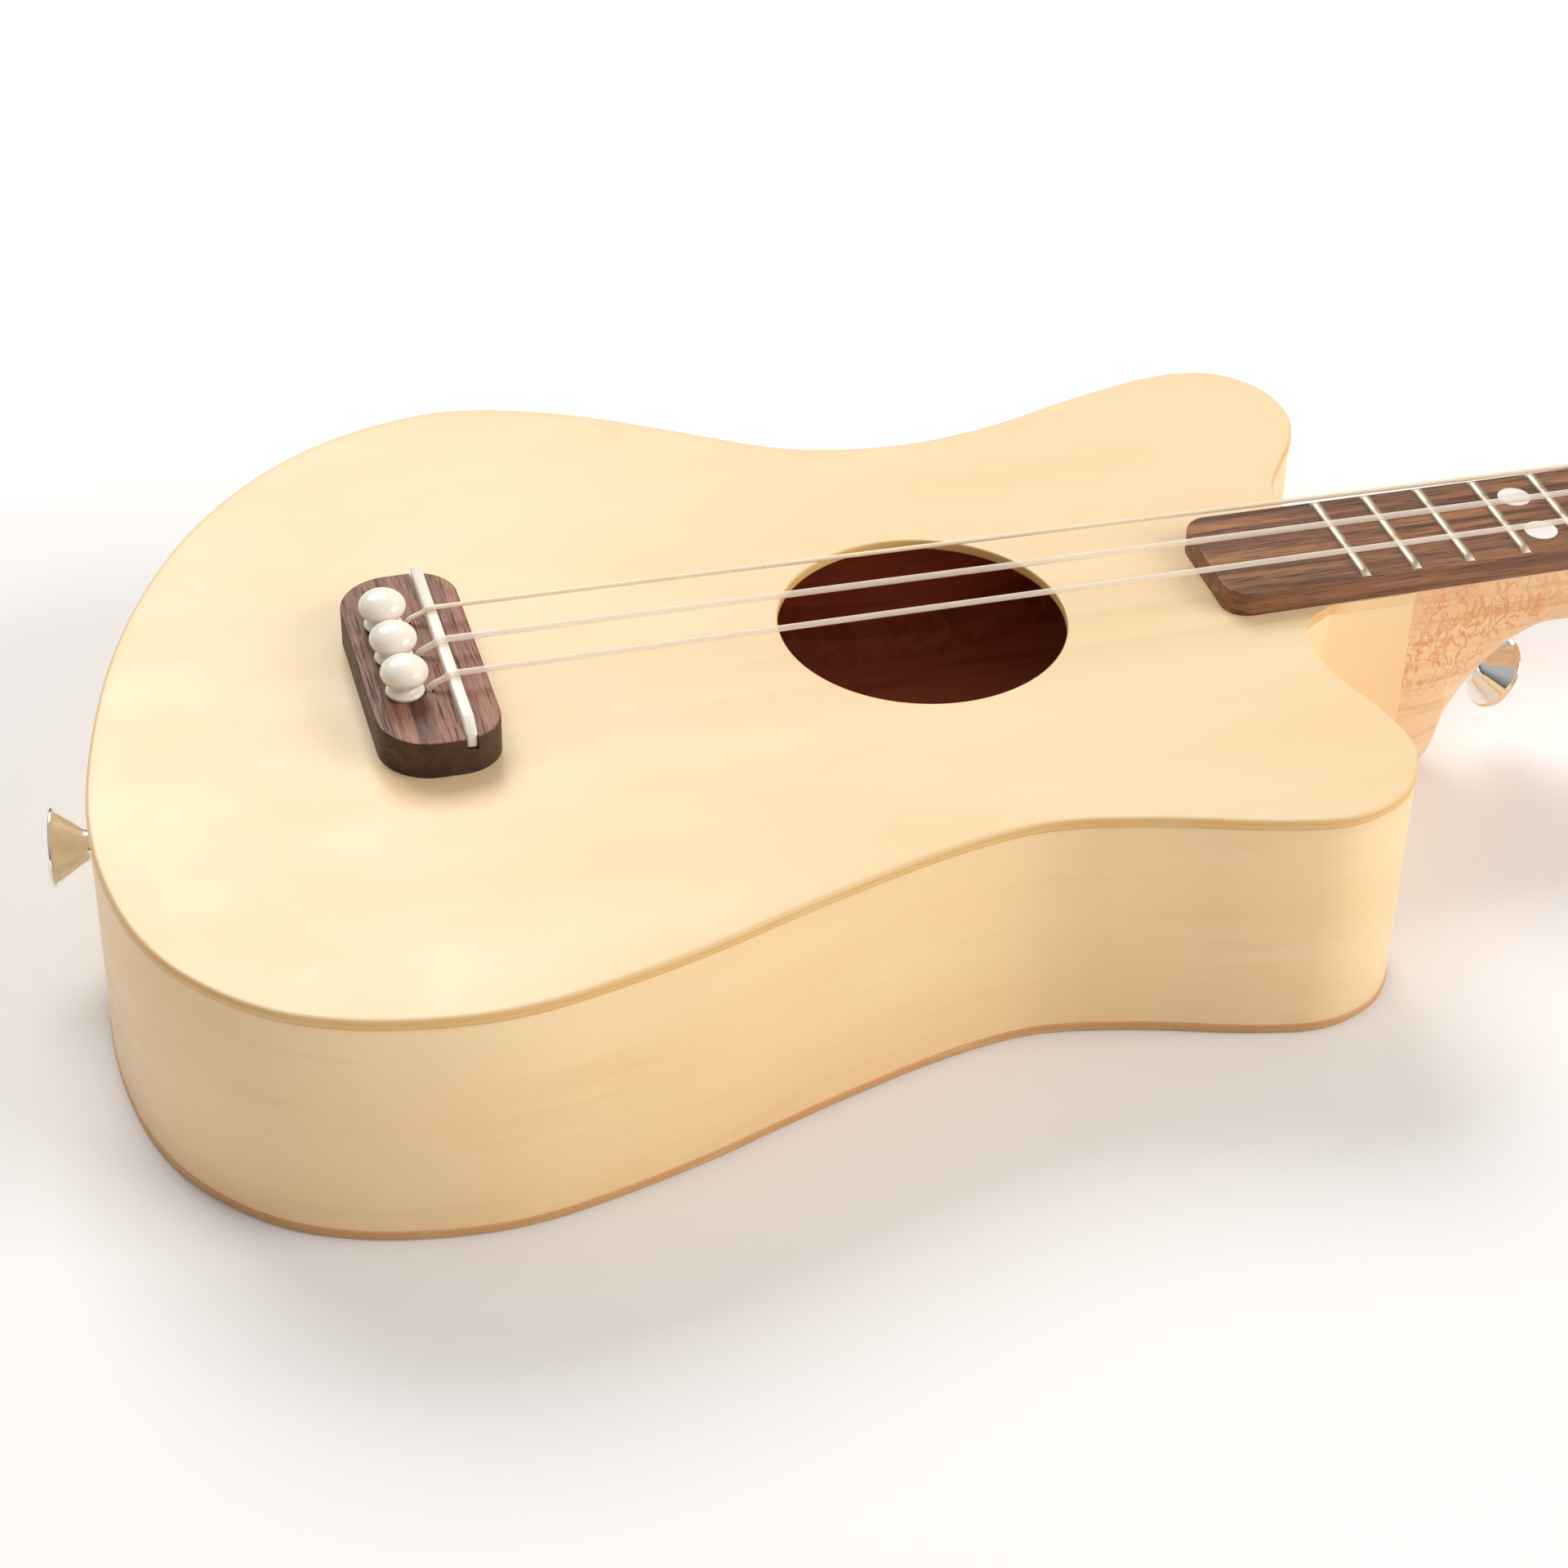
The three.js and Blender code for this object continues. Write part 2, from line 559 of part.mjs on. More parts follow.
function buildNeckBolts() {
  const head = [[0, -4], [4.8, -4], [5, -3.6], [5, -0.2]];
  const shank = [[BOLT_RADIUS, -0.2], [BOLT_RADIUS, 47.5], [2.4, 48.2], [0, 48.2]];
  BOLT_NAMES.forEach((name, i) => {
    const geometry = turned([...head, ...shank], 14).rotateY(Math.PI / 2);
    const bolt = addMetal(`neck_bolt_${name}`, geometry, STEEL);
    bolt.position.set(NECK_BLOCK_X, 0, BOLT_HEIGHTS[i]);
  });
}

// ---- Fretboard, frets and nut ----
const BOARD_CORNER = 4.8;

function buildFretboard() {
  const shape = new THREE.Shape();
  const half = boardHalf(BOARD_START_X);
  const near = BOARD_START_X + BOARD_CORNER;
  shape.moveTo(NUT_X, -BOARD_HALF_NUT);
  shape.lineTo(NUT_X, BOARD_HALF_NUT);
  shape.lineTo(near, boardHalf(near));
  shape.absarc(near, half - BOARD_CORNER, BOARD_CORNER, Math.PI / 2, Math.PI);
  shape.absarc(near, BOARD_CORNER - half, BOARD_CORNER, Math.PI, 1.5 * Math.PI);
  const board = new THREE.ExtrudeGeometry(shape, { depth: BOARD, bevelEnabled: false, curveSegments: 6 });
  addWood('fretboard', board.translate(0, 0, BODY_DEPTH), WALNUT);
}

function buildFrets() {
  const w = FRET_WIDTH / 2;
  const h = FRET_HEIGHT;
  const crown = [[-w, 0], [w, 0], [0.8 * w, 0.6 * h], [0.35 * w, h], [-0.35 * w, h], [-0.8 * w, 0.6 * h]];
  const shape = new THREE.Shape(crown.map(([x, z]) => new THREE.Vector2(x, z)));
  for (let fret = 1; fret <= FRETS; fret += 1) {
    const x = SCALE_LENGTH * 2 ** (-fret / 12);
    const half = boardHalf(x) - 0.5;
    const bar = new THREE.ExtrudeGeometry(shape, { depth: 2 * half, bevelEnabled: false });
    bar.rotateX(Math.PI / 2).translate(0, half, 0);
    const mesh = addMetal(`fret_${String(fret).padStart(2, '0')}`, bar, NICKEL);
    mesh.position.set(x, 0, BOARD_TOP);
  }
}

function buildNut() {
  const half = BOARD_HALF_NUT;
  const blank = block(NUT_X, NUT_X + NUT_LENGTH, -half, half, BODY_DEPTH, NUT_TOP);
  const slots = STRING_Y_NUT.map((y, i) => {
    const wide = STRING_RADIUS[i] + 0.15;
    const floor = STRING_Z_NUT - 0.9;
    return block(NUT_X - 1, NUT_X + NUT_LENGTH + 1, y - wide, y + wide, floor, NUT_TOP + 1);
  });
  addPlastic('nut', cut(blank, slots), IVORY);
}

// ---- Strings ----
// A route whose rings stay at its own points, so that bends can be closer together
class RouteCurve extends THREE.CatmullRomCurve3 {
  getUtoTmapping(u) {
    return u;
  }
}

const WINDING_Z = 48.8;

// Up through the bridge, over the saddle and the nut, and on to the post
function stringRoute(i) {
  const y0 = STRING_Y_SADDLE[i];
  const y1 = STRING_Y_NUT[i];
  const drop = STRING_DROP_X;
  const crest = SADDLE_TOP + STRING_RADIUS[i] + GLUE_GAP;
  const rise = [[drop, 40.6], [drop, 47], [drop, BRIDGE_TOP - 0.6], [drop + 0.3, BRIDGE_TOP + 0.5],
    [drop + 0.9, BRIDGE_TOP + 1.1], [-1.6, crest - 0.7], [-0.7, crest - 0.02], [0.2, crest + 0.05],
    [2, crest]];
  const route = rise.map(([x, z]) => [x, y0, z]);
  for (const share of [0.25, 0.5, 0.75, 0.995]) {
    const z = THREE.MathUtils.lerp(crest, STRING_Z_NUT, share);
    route.push([SCALE_LENGTH * share, THREE.MathUtils.lerp(y0, y1, share), z]);
  }
  const leave = NUT_X + NUT_LENGTH;
  route.push([NUT_X + 1.5, y1, STRING_Z_NUT], [leave - 0.6, y1, STRING_Z_NUT - 0.1]);
  route.push([leave + 3, y1, THREE.MathUtils.lerp(STRING_Z_NUT, WINDING_Z, 3 / (POST_X[i] - leave))]);
  route.push([POST_X[i], y1, WINDING_Z]);
  return route.map(([x, y, z]) => new THREE.Vector3(x, y, z));
}

function buildStrings() {
  VOICES.forEach((voice, i) => {
    const route = new RouteCurve(stringRoute(i), false, 'centripetal');
    const round = new THREE.Shape();
    round.absarc(0, 0, STRING_RADIUS[i], 0, 2 * Math.PI);
    const settings = { steps: route.points.length - 1, extrudePath: route, curveSegments: 4 };
    addPlastic(`string_${voice}`, new THREE.ExtrudeGeometry(round, settings), NYLON);
  });
}

// ---- Tuners ----
const WORM_OFFSET = 8.1;             // worm axis ahead of the post
const GEAR_RADIUS = 5.5;
const GEAR_ROOT = 4.6;
const GEAR_LOW = 25.7;
const GEAR_HIGH = 28.7;
const WORM_Z = (GEAR_LOW + GEAR_HIGH) / 2;
const WORM_RADIUS = 2.3;
const SHAFT_RADIUS = 1.5;
const EAR = 1.2;
const EAR_INSIDE = 6.3;
const TUNER_PLATE = 1;
const SHAFT_END = 13;

function tunerPlate() {
  const z = HEAD_UNDER - TUNER_PLATE;
  const base = toSolid(block(-8, 11.5, -9, 9, z, HEAD_UNDER));
  const ears = [-EAR_INSIDE - EAR, EAR_INSIDE].map((y) => {
    return toSolid(block(WORM_OFFSET - 3.2, WORM_OFFSET + 3.2, y, y + EAR, WORM_Z - 3.2, HEAD_UNDER - 0.5));
  });
  const shaft = rodAlongY(SHAFT_RADIUS + 0.25, WORM_OFFSET, -12, 12, WORM_Z);
  const post = rodAlongZ(3.3, 0, 0, z - 1, HEAD_UNDER + 1);
  return toGeometry(base.add(ears[0]).add(ears[1]).subtract(toSolid(shaft)).subtract(toSolid(post)));
}

function gearOutline() {
  const points = [];
  const pitch = (2 * Math.PI) / GEAR_TEETH;
  for (let tooth = 0; tooth < GEAR_TEETH; tooth += 1) {
    const start = tooth * pitch;
    [[GEAR_ROOT, 0], [GEAR_RADIUS, 0.2], [GEAR_RADIUS, 0.5], [GEAR_ROOT, 0.7]].forEach(([radius, share]) => {
      const angle = start + share * pitch;
      points.push(new THREE.Vector2(radius * Math.cos(angle), radius * Math.sin(angle)));
    });
  }
  return points;
}

function tunerPost() {
  const barrel = [[0, GEAR_LOW], [2.9, GEAR_LOW], [2.9, 47.2], [2.4, 47.8]];
  const knob = [[2.4, 49.8], [2.9, 50.4], [2.9, 52.3], [2.2, 52.9], [0, 53.1]];
  const post = toSolid(turned([...barrel, ...knob], 14));
  return toGeometry(post.add(toSolid(extrudeUp(gearOutline(), GEAR_LOW, GEAR_HIGH))));
}

function tunerBushing() {
  const inner = 3.25;
  const outer = POST_HOLE - 0.2;
  const top = HEAD_TOP + 2.4;
  const sleeve = [[inner, 38], [outer, 38], [outer, HEAD_TOP]];
  const flange = [[5.6, HEAD_TOP], [5.4, HEAD_TOP + 1.8], [4.4, top], [inner, top]];
  return turned([...sleeve, ...flange, [inner, 38]], 14);
}

// Worm shaft, standing along +Z, with the worm between the two ears
function tunerWorm() {
  const worm = EAR_INSIDE - 0.4;
  const tail = [[0, -8.6], [SHAFT_RADIUS, -8.6], [SHAFT_RADIUS, -worm]];
  const thread = [[WORM_RADIUS, 0.3 - worm], [WORM_RADIUS, worm - 0.3]];
  const shaft = [[SHAFT_RADIUS, worm], [SHAFT_RADIUS, SHAFT_END], [0, SHAFT_END]];
  return turned([...tail, ...thread, ...shaft], 12);
}

function tunerButton() {
  const neck = [[0, 0], [2.4, 0], [2.6, 1.6], [4.4, 3]];
  const bulb = [[6, 5.4], [6.3, 8], [5.6, 10.6], [3.6, 12.4], [0, 13]];
  return turned([...neck, ...bulb], 14).scale(1, 0.62, 1).translate(0, 0, SHAFT_END);
}

function buildTuners() {
  VOICES.forEach((voice, i) => {
    const tuner = new THREE.Group();
    tuner.position.set(POST_X[i], POST_Y[i], 0);
    guitar.add(tuner);
    addMetal(`tuner_plate_${voice}`, tunerPlate(), STEEL, tuner);
    addMetal(`tuner_post_${voice}`, tunerPost(), BRASS, tuner);
    addMetal(`tuner_bushing_${voice}`, tunerBushing(), STEEL, tuner);
    const shaft = new THREE.Group();
    shaft.position.set(WORM_OFFSET, 0, WORM_Z);
    shaft.rotation.x = -Math.PI / 2;
    tuner.add(shaft);
    addMetal(`tuner_worm_${voice}`, tunerWorm(), STEEL, shaft);
    addPlastic(`tuner_button_${voice}`, tunerButton(), IVORY, shaft);
  });
}

buildPlates();
buildSide();
buildBlocks();
buildBraces();
buildBridge();
buildSaddle();
buildPins();
buildStrapButtons();
buildNeck();
buildNeckBolts();
buildFretboard();
buildFrets();
buildNut();
buildStrings();
buildTuners();

export default guitar;
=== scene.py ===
from math import asin, copysign, cos, degrees, pi, radians, sin

import bmesh
import bpy
import numpy as np
from mathutils import Matrix, Vector


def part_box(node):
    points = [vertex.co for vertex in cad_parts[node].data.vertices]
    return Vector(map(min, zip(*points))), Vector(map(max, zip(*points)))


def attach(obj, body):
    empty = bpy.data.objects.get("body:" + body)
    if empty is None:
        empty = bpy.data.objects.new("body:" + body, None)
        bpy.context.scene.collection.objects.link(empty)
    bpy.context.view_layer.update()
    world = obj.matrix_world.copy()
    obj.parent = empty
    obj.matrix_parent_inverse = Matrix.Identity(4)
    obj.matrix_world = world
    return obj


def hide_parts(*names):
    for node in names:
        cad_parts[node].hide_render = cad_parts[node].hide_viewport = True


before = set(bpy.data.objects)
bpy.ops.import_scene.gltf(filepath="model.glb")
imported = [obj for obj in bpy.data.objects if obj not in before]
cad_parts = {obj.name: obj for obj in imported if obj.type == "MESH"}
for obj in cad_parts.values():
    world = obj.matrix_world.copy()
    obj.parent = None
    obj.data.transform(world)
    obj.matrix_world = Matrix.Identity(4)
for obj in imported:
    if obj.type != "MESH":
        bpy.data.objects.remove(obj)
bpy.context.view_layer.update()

# Looks of a small three-string acoustic guitar. Shapes are written in millimetres in the CAD
# frame (+X along the strings to the head, +Y to the bass side, +Z out of the soundboard) and
# are scaled to metres when a mesh is made.
MM = 0.001
ROOT = "guitar"
VOICES = ["bass", "middle", "treble"]


def cad_box_mm(node):
    """Lowest and highest corner of a CAD node in millimetres."""
    low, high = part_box(node)
    return low / MM, high / MM


# ---- Dimensions, read from the CAD nodes where they can be ----
TOP_LOW, TOP_HIGH = cad_box_mm("top_plate")
BOARD_LOW, BOARD_HIGH = cad_box_mm("fretboard")
BRIDGE_LOW, BRIDGE_HIGH = cad_box_mm("bridge")
SADDLE_LOW, SADDLE_HIGH = cad_box_mm("saddle")
NUT_LOW, NUT_HIGH = cad_box_mm("nut")

BODY_DEPTH = TOP_HIGH.z
TOP_INSIDE = TOP_LOW.z
PLATE = cad_box_mm("back_plate")[1].z
NECK_JOINT_X = cad_box_mm("neck")[0].x
OVERHANG = 0.15
SIDE_INSIDE = 3.4
HOLE_X = 87.6
HOLE_RADIUS = 26.2
BOARD_TOP = BOARD_HIGH.z
BRIDGE_TOP = BRIDGE_HIGH.z
SCALE_LENGTH = NUT_LOW.x
FRETS = 15
STRING_Y_SADDLE = [10.4, 0.0, -10.4]
STRING_Y_NUT = [7.5, 0.0, -7.5]
STRING_RADIUS = [0.42, 0.6, 0.55]
STRING_Z_NUT = 53.5


# ---- Camera ----
CAMERA_PLACE = (-0.087394, -0.509559, 0.410596)
CAMERA_AZIMUTH = -16.375
CAMERA_ELEVATION = 36.723
CAMERA_ROLL = 1.42
CAMERA_LENS = 82.555


def add_camera():
    azimuth, elevation = radians(CAMERA_AZIMUTH), radians(CAMERA_ELEVATION)
    back = Vector((sin(azimuth) * cos(elevation),
                   -cos(azimuth) * cos(elevation), sin(elevation)))
    right = Vector((0, 0, 1)).cross(back).normalized()
    up = back.cross(right)
    roll = radians(CAMERA_ROLL)
    across = right * cos(roll) + up * sin(roll)
    upward = up * cos(roll) - right * sin(roll)
    data = bpy.data.cameras.new("camera")
    data.lens = CAMERA_LENS
    data.sensor_width = 36
    data.clip_start = 0.01
    data.clip_end = 50
    camera = bpy.data.objects.new("camera", data)
    turn = Matrix((across, upward, back)).transposed()
    camera.matrix_world = Matrix.Translation(CAMERA_PLACE) @ turn.to_4x4()
    bpy.context.scene.collection.objects.link(camera)
    bpy.context.scene.camera = camera


add_camera()


# ---- Shader nodes ----
class Shader:
    """A material under construction, with short ways to add and link nodes."""

    def __init__(self, name):
        self.material = bpy.data.materials.new(name)
        self.material.use_nodes = True
        self.tree = self.material.node_tree
        self.surface = self.tree.nodes["Principled BSDF"]

    def add(self, kind, inputs=None, **settings):
        made = self.tree.nodes.new("ShaderNode" + kind)
        for key, value in settings.items():
            setattr(made, key, value)
        for key, value in (inputs or {}).items():
            self.set(made, key, value)
        return made

    def set(self, made, key, value):
        socket = made.inputs[key]
        if isinstance(value, bpy.types.NodeSocket):
            self.tree.links.new(value, socket)
        else:
            socket.default_value = value

    def finish(self, **values):
        for key, value in values.items():
            self.set(self.surface, key.replace("_", " "), value)
        return self.material

    def place(self):
        return self.add("TexCoord").outputs["Object"]

    def axes(self, vector):
        return self.add("SeparateXYZ", {"Vector": vector}).outputs

    def stretched(self, vector, scale, offset=(0, 0, 0), rotation=(0, 0, 0)):
        return self.add("Mapping", {"Vector": vector, "Scale": scale, "Location": offset,
                                    "Rotation": rotation}).outputs["Vector"]

    def noise(self, vector, scale, detail, roughness, distortion=0.0):
        return self.add("TexNoise", {"Vector": vector, "Scale": scale, "Detail": detail,
                                     "Roughness": roughness, "Distortion": distortion}).outputs["Fac"]

    def grain(self, vector, scale, detail, roughness, distortion=0.0, offset=(0, 0, 0)):
        """Noise drawn out along the axes with the smaller scales."""
        return self.noise(self.stretched(vector, scale, offset), 1, detail, roughness, distortion)

    def between(self, value, low, high, to_low=0.0, to_high=1.0):
        inputs = {"Value": value, "From Min": low, "From Max": high, "To Min": to_low, "To Max": to_high}
        return self.add("MapRange", inputs, interpolation_type="SMOOTHSTEP").outputs["Result"]

    def maths(self, operation, a, b=0.0):
        return self.add("Math", {0: a, 1: b}, operation=operation).outputs[0]

    def mix(self, share, first, second):
        inputs = {0: share, 6: first, 7: second}
        return self.add("Mix", inputs, data_type="RGBA", blend_type="MIX").outputs[2]

    def times(self, a, b):
        return self.maths("MULTIPLY", a, b)

    def size(self, value):
        return self.maths("ABSOLUTE", value)

    def tint(self, colour, second, value, low, high, share=1.0):
        """A colour mixed towards a second one as the value goes from low to high."""
        return self.mix(self.between(value, low, high, 0.0, share), colour, second)

    def bump(self, height, strength, distance):
        inputs = {"Height": height, "Strength": strength, "Distance": distance}
        return self.add("Bump", inputs).outputs["Normal"]

    def facing(self, axis):
        """How far a face points along an axis of the object, from -1 to 1."""
        return self.axes(self.add("TexCoord").outputs["Normal"])[axis]


def rgb(r, g, b):
    """A linear colour from its 0 to 255 screen values."""
    def linear(value):
        share = value / 255
        return share / 12.92 if share <= 0.04045 else ((share + 0.055) / 1.055) ** 2.4
    return (linear(r), linear(g), linear(b), 1.0)


def lacquered_ply(name, face, warm, edge, inner, inner_sign):
    """Pale plywood under clear lacquer: its edge shows honey-coloured, with painted light making it brighter
    round the sound hole and at the tongue, and its inside is a darker red, partly painted shade.
    """
    s = Shader(name)
    place = s.place()
    drift = s.grain(place, (9, 32, 32), 2, 0.5, 0.6)
    figure = s.grain(place, (13, 170, 170), 4, 0.6, 0.4, offset=(3.1, 0.4, 0))
    fibre = s.grain(place, (110, 2400, 2400), 3, 0.6)
    colour = s.tint(face, warm, drift, 0.3, 0.75, 0.7)
    colour = s.tint(colour, warm, figure, 0.5, 0.8, 0.3)
    colour = s.tint(colour, edge, fibre, 0.4, 0.8, 0.05)
    speck = s.add("TexVoronoi", {"Vector": place, "Scale": 26.0})
    dot = s.between(speck.outputs["Distance"], 0.008, 0.013, 1, 0)
    colour = s.mix(s.times(dot, 0.5), colour, rgb(140, 96, 58))
    upward = s.facing("Z")
    along = s.axes(place)
    layer = s.maths("SINE", s.times(along["Z"], 6300.0))
    band = s.tint(edge, rgb(206, 152, 92), layer, 0.2, 0.8, 0.3)
    cloud = s.grain(place, (60, 60, 500), 2, 0.5)
    band = s.tint(band, warm, cloud, 0.45, 0.75, 0.35)
    # Painted light: within about 29 mm of the sound hole's middle, the edge band takes a bright honey
    # colour. It stands in for the glow of the shaded hole wall.
    from_hole = s.add("VectorMath", {0: s.stretched(place, (1, 1, 0)), 1: (HOLE_X * MM, 0, 0)},
                      operation="DISTANCE").outputs["Value"]
    band = s.mix(s.between(from_hole, 0.028, 0.03, 1, 0), band, rgb(255, 212, 136))
    # Painted light: at the tongue beside the fretboard, the edge band is painted lighter. It stands in for
    # light that the fretboard shades off.
    tongue = s.times(s.between(along["X"], 0.161, 0.166), s.between(s.size(along["Y"]), 0.0165, 0.0145))
    band = s.mix(tongue, band, rgb(246, 208, 156))
    side_share = s.between(s.size(upward), 0.45, 0.97, 1, 0)
    colour = s.mix(side_share, colour, band)
    # Partly painted shade: faces turned into the body take a darker red colour. In part it stands for the
    # dim, warm-bounced light inside the body.
    inward = s.between(s.times(upward, inner_sign), 0.8, 0.95)
    colour = s.mix(inward, colour, s.tint(inner, rgb(176, 92, 64), figure, 0.4, 0.7, 0.5))
    rough = s.between(s.grain(place, (40, 60, 60), 3, 0.6), 0.3, 0.7, 0.4, 0.5)
    height = s.maths("ADD", s.times(fibre, 0.5), s.times(figure, 0.5))
    return s.finish(Base_Color=colour, Roughness=rough, Normal=s.bump(height, 0.06, 0.0003),
                    Coat_Weight=0.15, Coat_Roughness=0.25)


def side_ply():
    """The bent side: fine grain runs along it, with soft cloudy figure."""
    s = Shader("side_ply")
    grain = s.add("Attribute", attribute_name="grain").outputs["Vector"]
    drift = s.grain(grain, (10, 26, 26), 2, 0.5, 0.6)
    figure = s.grain(grain, (22, 210, 210), 4, 0.6, 0.5, offset=(0.7, 0.3, 0.2))
    fibre = s.grain(grain, (130, 2400, 2400), 3, 0.6)
    colour = s.tint(rgb(253, 222, 172), rgb(248, 208, 153), drift, 0.3, 0.75, 0.8)
    colour = s.tint(colour, rgb(234, 190, 136), figure, 0.5, 0.8, 0.3)
    colour = s.tint(colour, rgb(206, 162, 114), fibre, 0.4, 0.8, 0.08)
    height = s.maths("ADD", s.times(fibre, 0.5), s.times(figure, 0.5))
    rough = s.between(figure, 0.3, 0.7, 0.36, 0.46)
    return s.finish(Base_Color=colour, Roughness=rough, Normal=s.bump(height, 0.06, 0.0003),
                    Coat_Weight=0.2, Coat_Roughness=0.22)


def side_inside():
    """The reddish inner face of the side; its darker, redder tone is partly painted shade of the dim inside
    of the body.
    """
    s = Shader("side_inside")
    grain = s.add("Attribute", attribute_name="grain").outputs["Vector"]
    figure = s.grain(grain, (30, 240, 240), 4, 0.55, 0.8)
    fibre = s.grain(grain, (130, 2400, 2400), 3, 0.6)
    colour = s.tint(rgb(236, 146, 108), rgb(212, 122, 88), figure, 0.35, 0.7)
    return s.finish(Base_Color=colour, Roughness=s.between(fibre, 0.3, 0.7, 0.6, 0.72),
                    Normal=s.bump(fibre, 0.15, 0.0002))


def walnut(name, turn, tones, painted_side_tone, side_share):
    """Open-grained walnut from light, middle and dark tones. The grain runs along X before the
    turn about Z."""
    light, middle, dark = tones
    s = Shader(name)
    place = s.stretched(s.place(), (1, 1, 1), rotation=(0, 0, turn))
    bands = s.grain(place, (9, 340, 340), 5, 0.6, 0.6)
    broad = s.grain(place, (16, 90, 90), 3, 0.5, 0.7, offset=(1.7, 0.2, 0.5))
    fibre = s.grain(place, (160, 3600, 3600), 3, 0.65)
    pores = s.grain(place, (110, 3000, 3000), 2, 0.55, offset=(0.3, 0.9, 0.1))
    colour = s.tint(dark, light, bands, 0.38, 0.62)
    colour = s.tint(colour, middle, broad, 0.4, 0.62, 0.65)
    colour = s.tint(colour, dark, fibre, 0.35, 0.7, 0.4)
    pore = s.between(pores, 0.55, 0.66)
    colour = s.mix(s.times(pore, 0.75), colour, rgb(44, 25, 18))
    # Upright faces are mixed towards the given side tone. On the bridge this is a dark tone, partly end
    # grain and partly painted shade. On the fretboard it is a lighter tone that is painted light.
    upright = s.between(s.size(s.facing("Z")), 0.5, 0.8, 1, 0)
    colour = s.mix(s.times(upright, side_share), colour, painted_side_tone)
    rough = s.maths("ADD", s.between(fibre, 0.3, 0.7, 0.44, 0.58), s.times(pore, 0.2))
    height = s.maths("SUBTRACT", s.times(fibre, 0.35), pore)
    return s.finish(Base_Color=colour, Roughness=rough, Normal=s.bump(height, 0.35, 0.00012),
                    Specular_IOR_Level=0.4)


def neck_wood():
    """Pinkish wood with a lace of orange flecks on the flat sides and straight lines elsewhere."""
    s = Shader("neck_wood")
    place = s.place()
    lines = s.grain(place, (16, 60, 520), 4, 0.6, 0.5)
    drift = s.grain(place, (30, 60, 60), 3, 0.5)
    fibre = s.grain(place, (120, 2600, 2600), 3, 0.6)
    colour = s.tint(rgb(250, 211, 164), rgb(244, 197, 148), drift, 0.35, 0.7)
    colour = s.tint(colour, rgb(216, 152, 102), lines, 0.45, 0.7, 0.5)
    warp = s.grain(place, (430, 300, 260), 3, 0.55, 0.9, offset=(0.2, 0.6, 0.9))
    lace = s.between(s.size(s.maths("SUBTRACT", warp, 0.5)), 0.012, 0.06, 1, 0)
    patch = s.grain(place, (70, 50, 90), 2, 0.5, offset=(0.8, 0.1, 0.4))
    patch = s.between(patch, 0.36, 0.6, 0.25, 1)
    flat = s.between(s.size(s.facing("Y")), 0.8, 0.97)
    high = s.between(s.axes(place)["Z"], 0.019, 0.03)
    lace = s.times(lace, s.times(flat, s.times(patch, high)))
    colour = s.mix(s.times(lace, 0.8), colour, rgb(228, 152, 92))
    colour = s.tint(colour, rgb(190, 126, 84), fibre, 0.35, 0.75, 0.14)
    height = s.maths("ADD", s.times(fibre, 0.5), s.times(lace, 0.4))
    return s.finish(Base_Color=colour, Roughness=s.between(fibre, 0.3, 0.7, 0.38, 0.48),
                    Normal=s.bump(height, 0.1, 0.0002), Coat_Weight=0.15, Coat_Roughness=0.25)


def bare_wood(name, light, dark):
    """Sanded unfinished wood inside the body."""
    s = Shader(name)
    place = s.place()
    lines = s.grain(place, (300, 14, 300), 4, 0.6, 0.3)
    fibre = s.grain(place, (2800, 90, 2800), 3, 0.6)
    colour = s.tint(light, dark, lines, 0.35, 0.7)
    colour = s.tint(colour, dark, fibre, 0.35, 0.75, 0.2)
    return s.finish(Base_Color=colour, Roughness=s.between(fibre, 0.3, 0.7, 0.6, 0.75),
                    Normal=s.bump(fibre, 0.2, 0.0002))


def polished_plastic(name, colour, shade, rough=0.16, coat=0.35):
    """Ivory-white moulded or bone-like plastic with a faint cloudiness and polish marks."""
    s = Shader(name)
    place = s.place()
    cloud = s.noise(place, 220, 3, 0.5)
    marks = s.noise(place, 2400, 2, 0.5)
    tint = s.tint(colour, shade, cloud, 0.35, 0.7)
    return s.finish(Base_Color=tint, Roughness=s.between(marks, 0.3, 0.7, rough - 0.04, rough + 0.06),
                    Normal=s.bump(marks, 0.03, 0.0001), Subsurface_Weight=0.12,
                    Subsurface_Radius=(0.004, 0.003, 0.002), Subsurface_Scale=0.4,
                    Coat_Weight=coat, Coat_Roughness=0.08)


def metal(name, colour, shade, rough, wear):
    """Plated or polished metal with fine rubbing marks."""
    s = Shader(name)
    place = s.place()
    cloud = s.noise(place, 400, 3, 0.6)
    marks = s.grain(place, (300, 2600, 2600), 4, 0.6)
    tint = s.tint(colour, shade, cloud, 0.4, 0.75)
    return s.finish(Base_Color=tint, Metallic=1.0,
                    Roughness=s.between(marks, 0.3, 0.75, rough, rough + wear),
                    Normal=s.bump(marks, 0.04, 0.00005))


def clear_nylon():
    """Clear line: milky, and partly see-through along its middle."""
    s = Shader("clear_nylon")
    along = s.grain(s.place(), (90, 900, 900), 2, 0.5)
    tint = s.tint(rgb(255, 244, 230), rgb(252, 238, 222), along, 0.35, 0.7)
    edge = s.add("LayerWeight", {"Blend": 0.5}).outputs["Facing"]
    cover = s.between(edge, 0.35, 0.85, 0.5, 0.92)
    return s.finish(Base_Color=tint, Roughness=s.between(along, 0.3, 0.7, 0.12, 0.2), Alpha=cover)


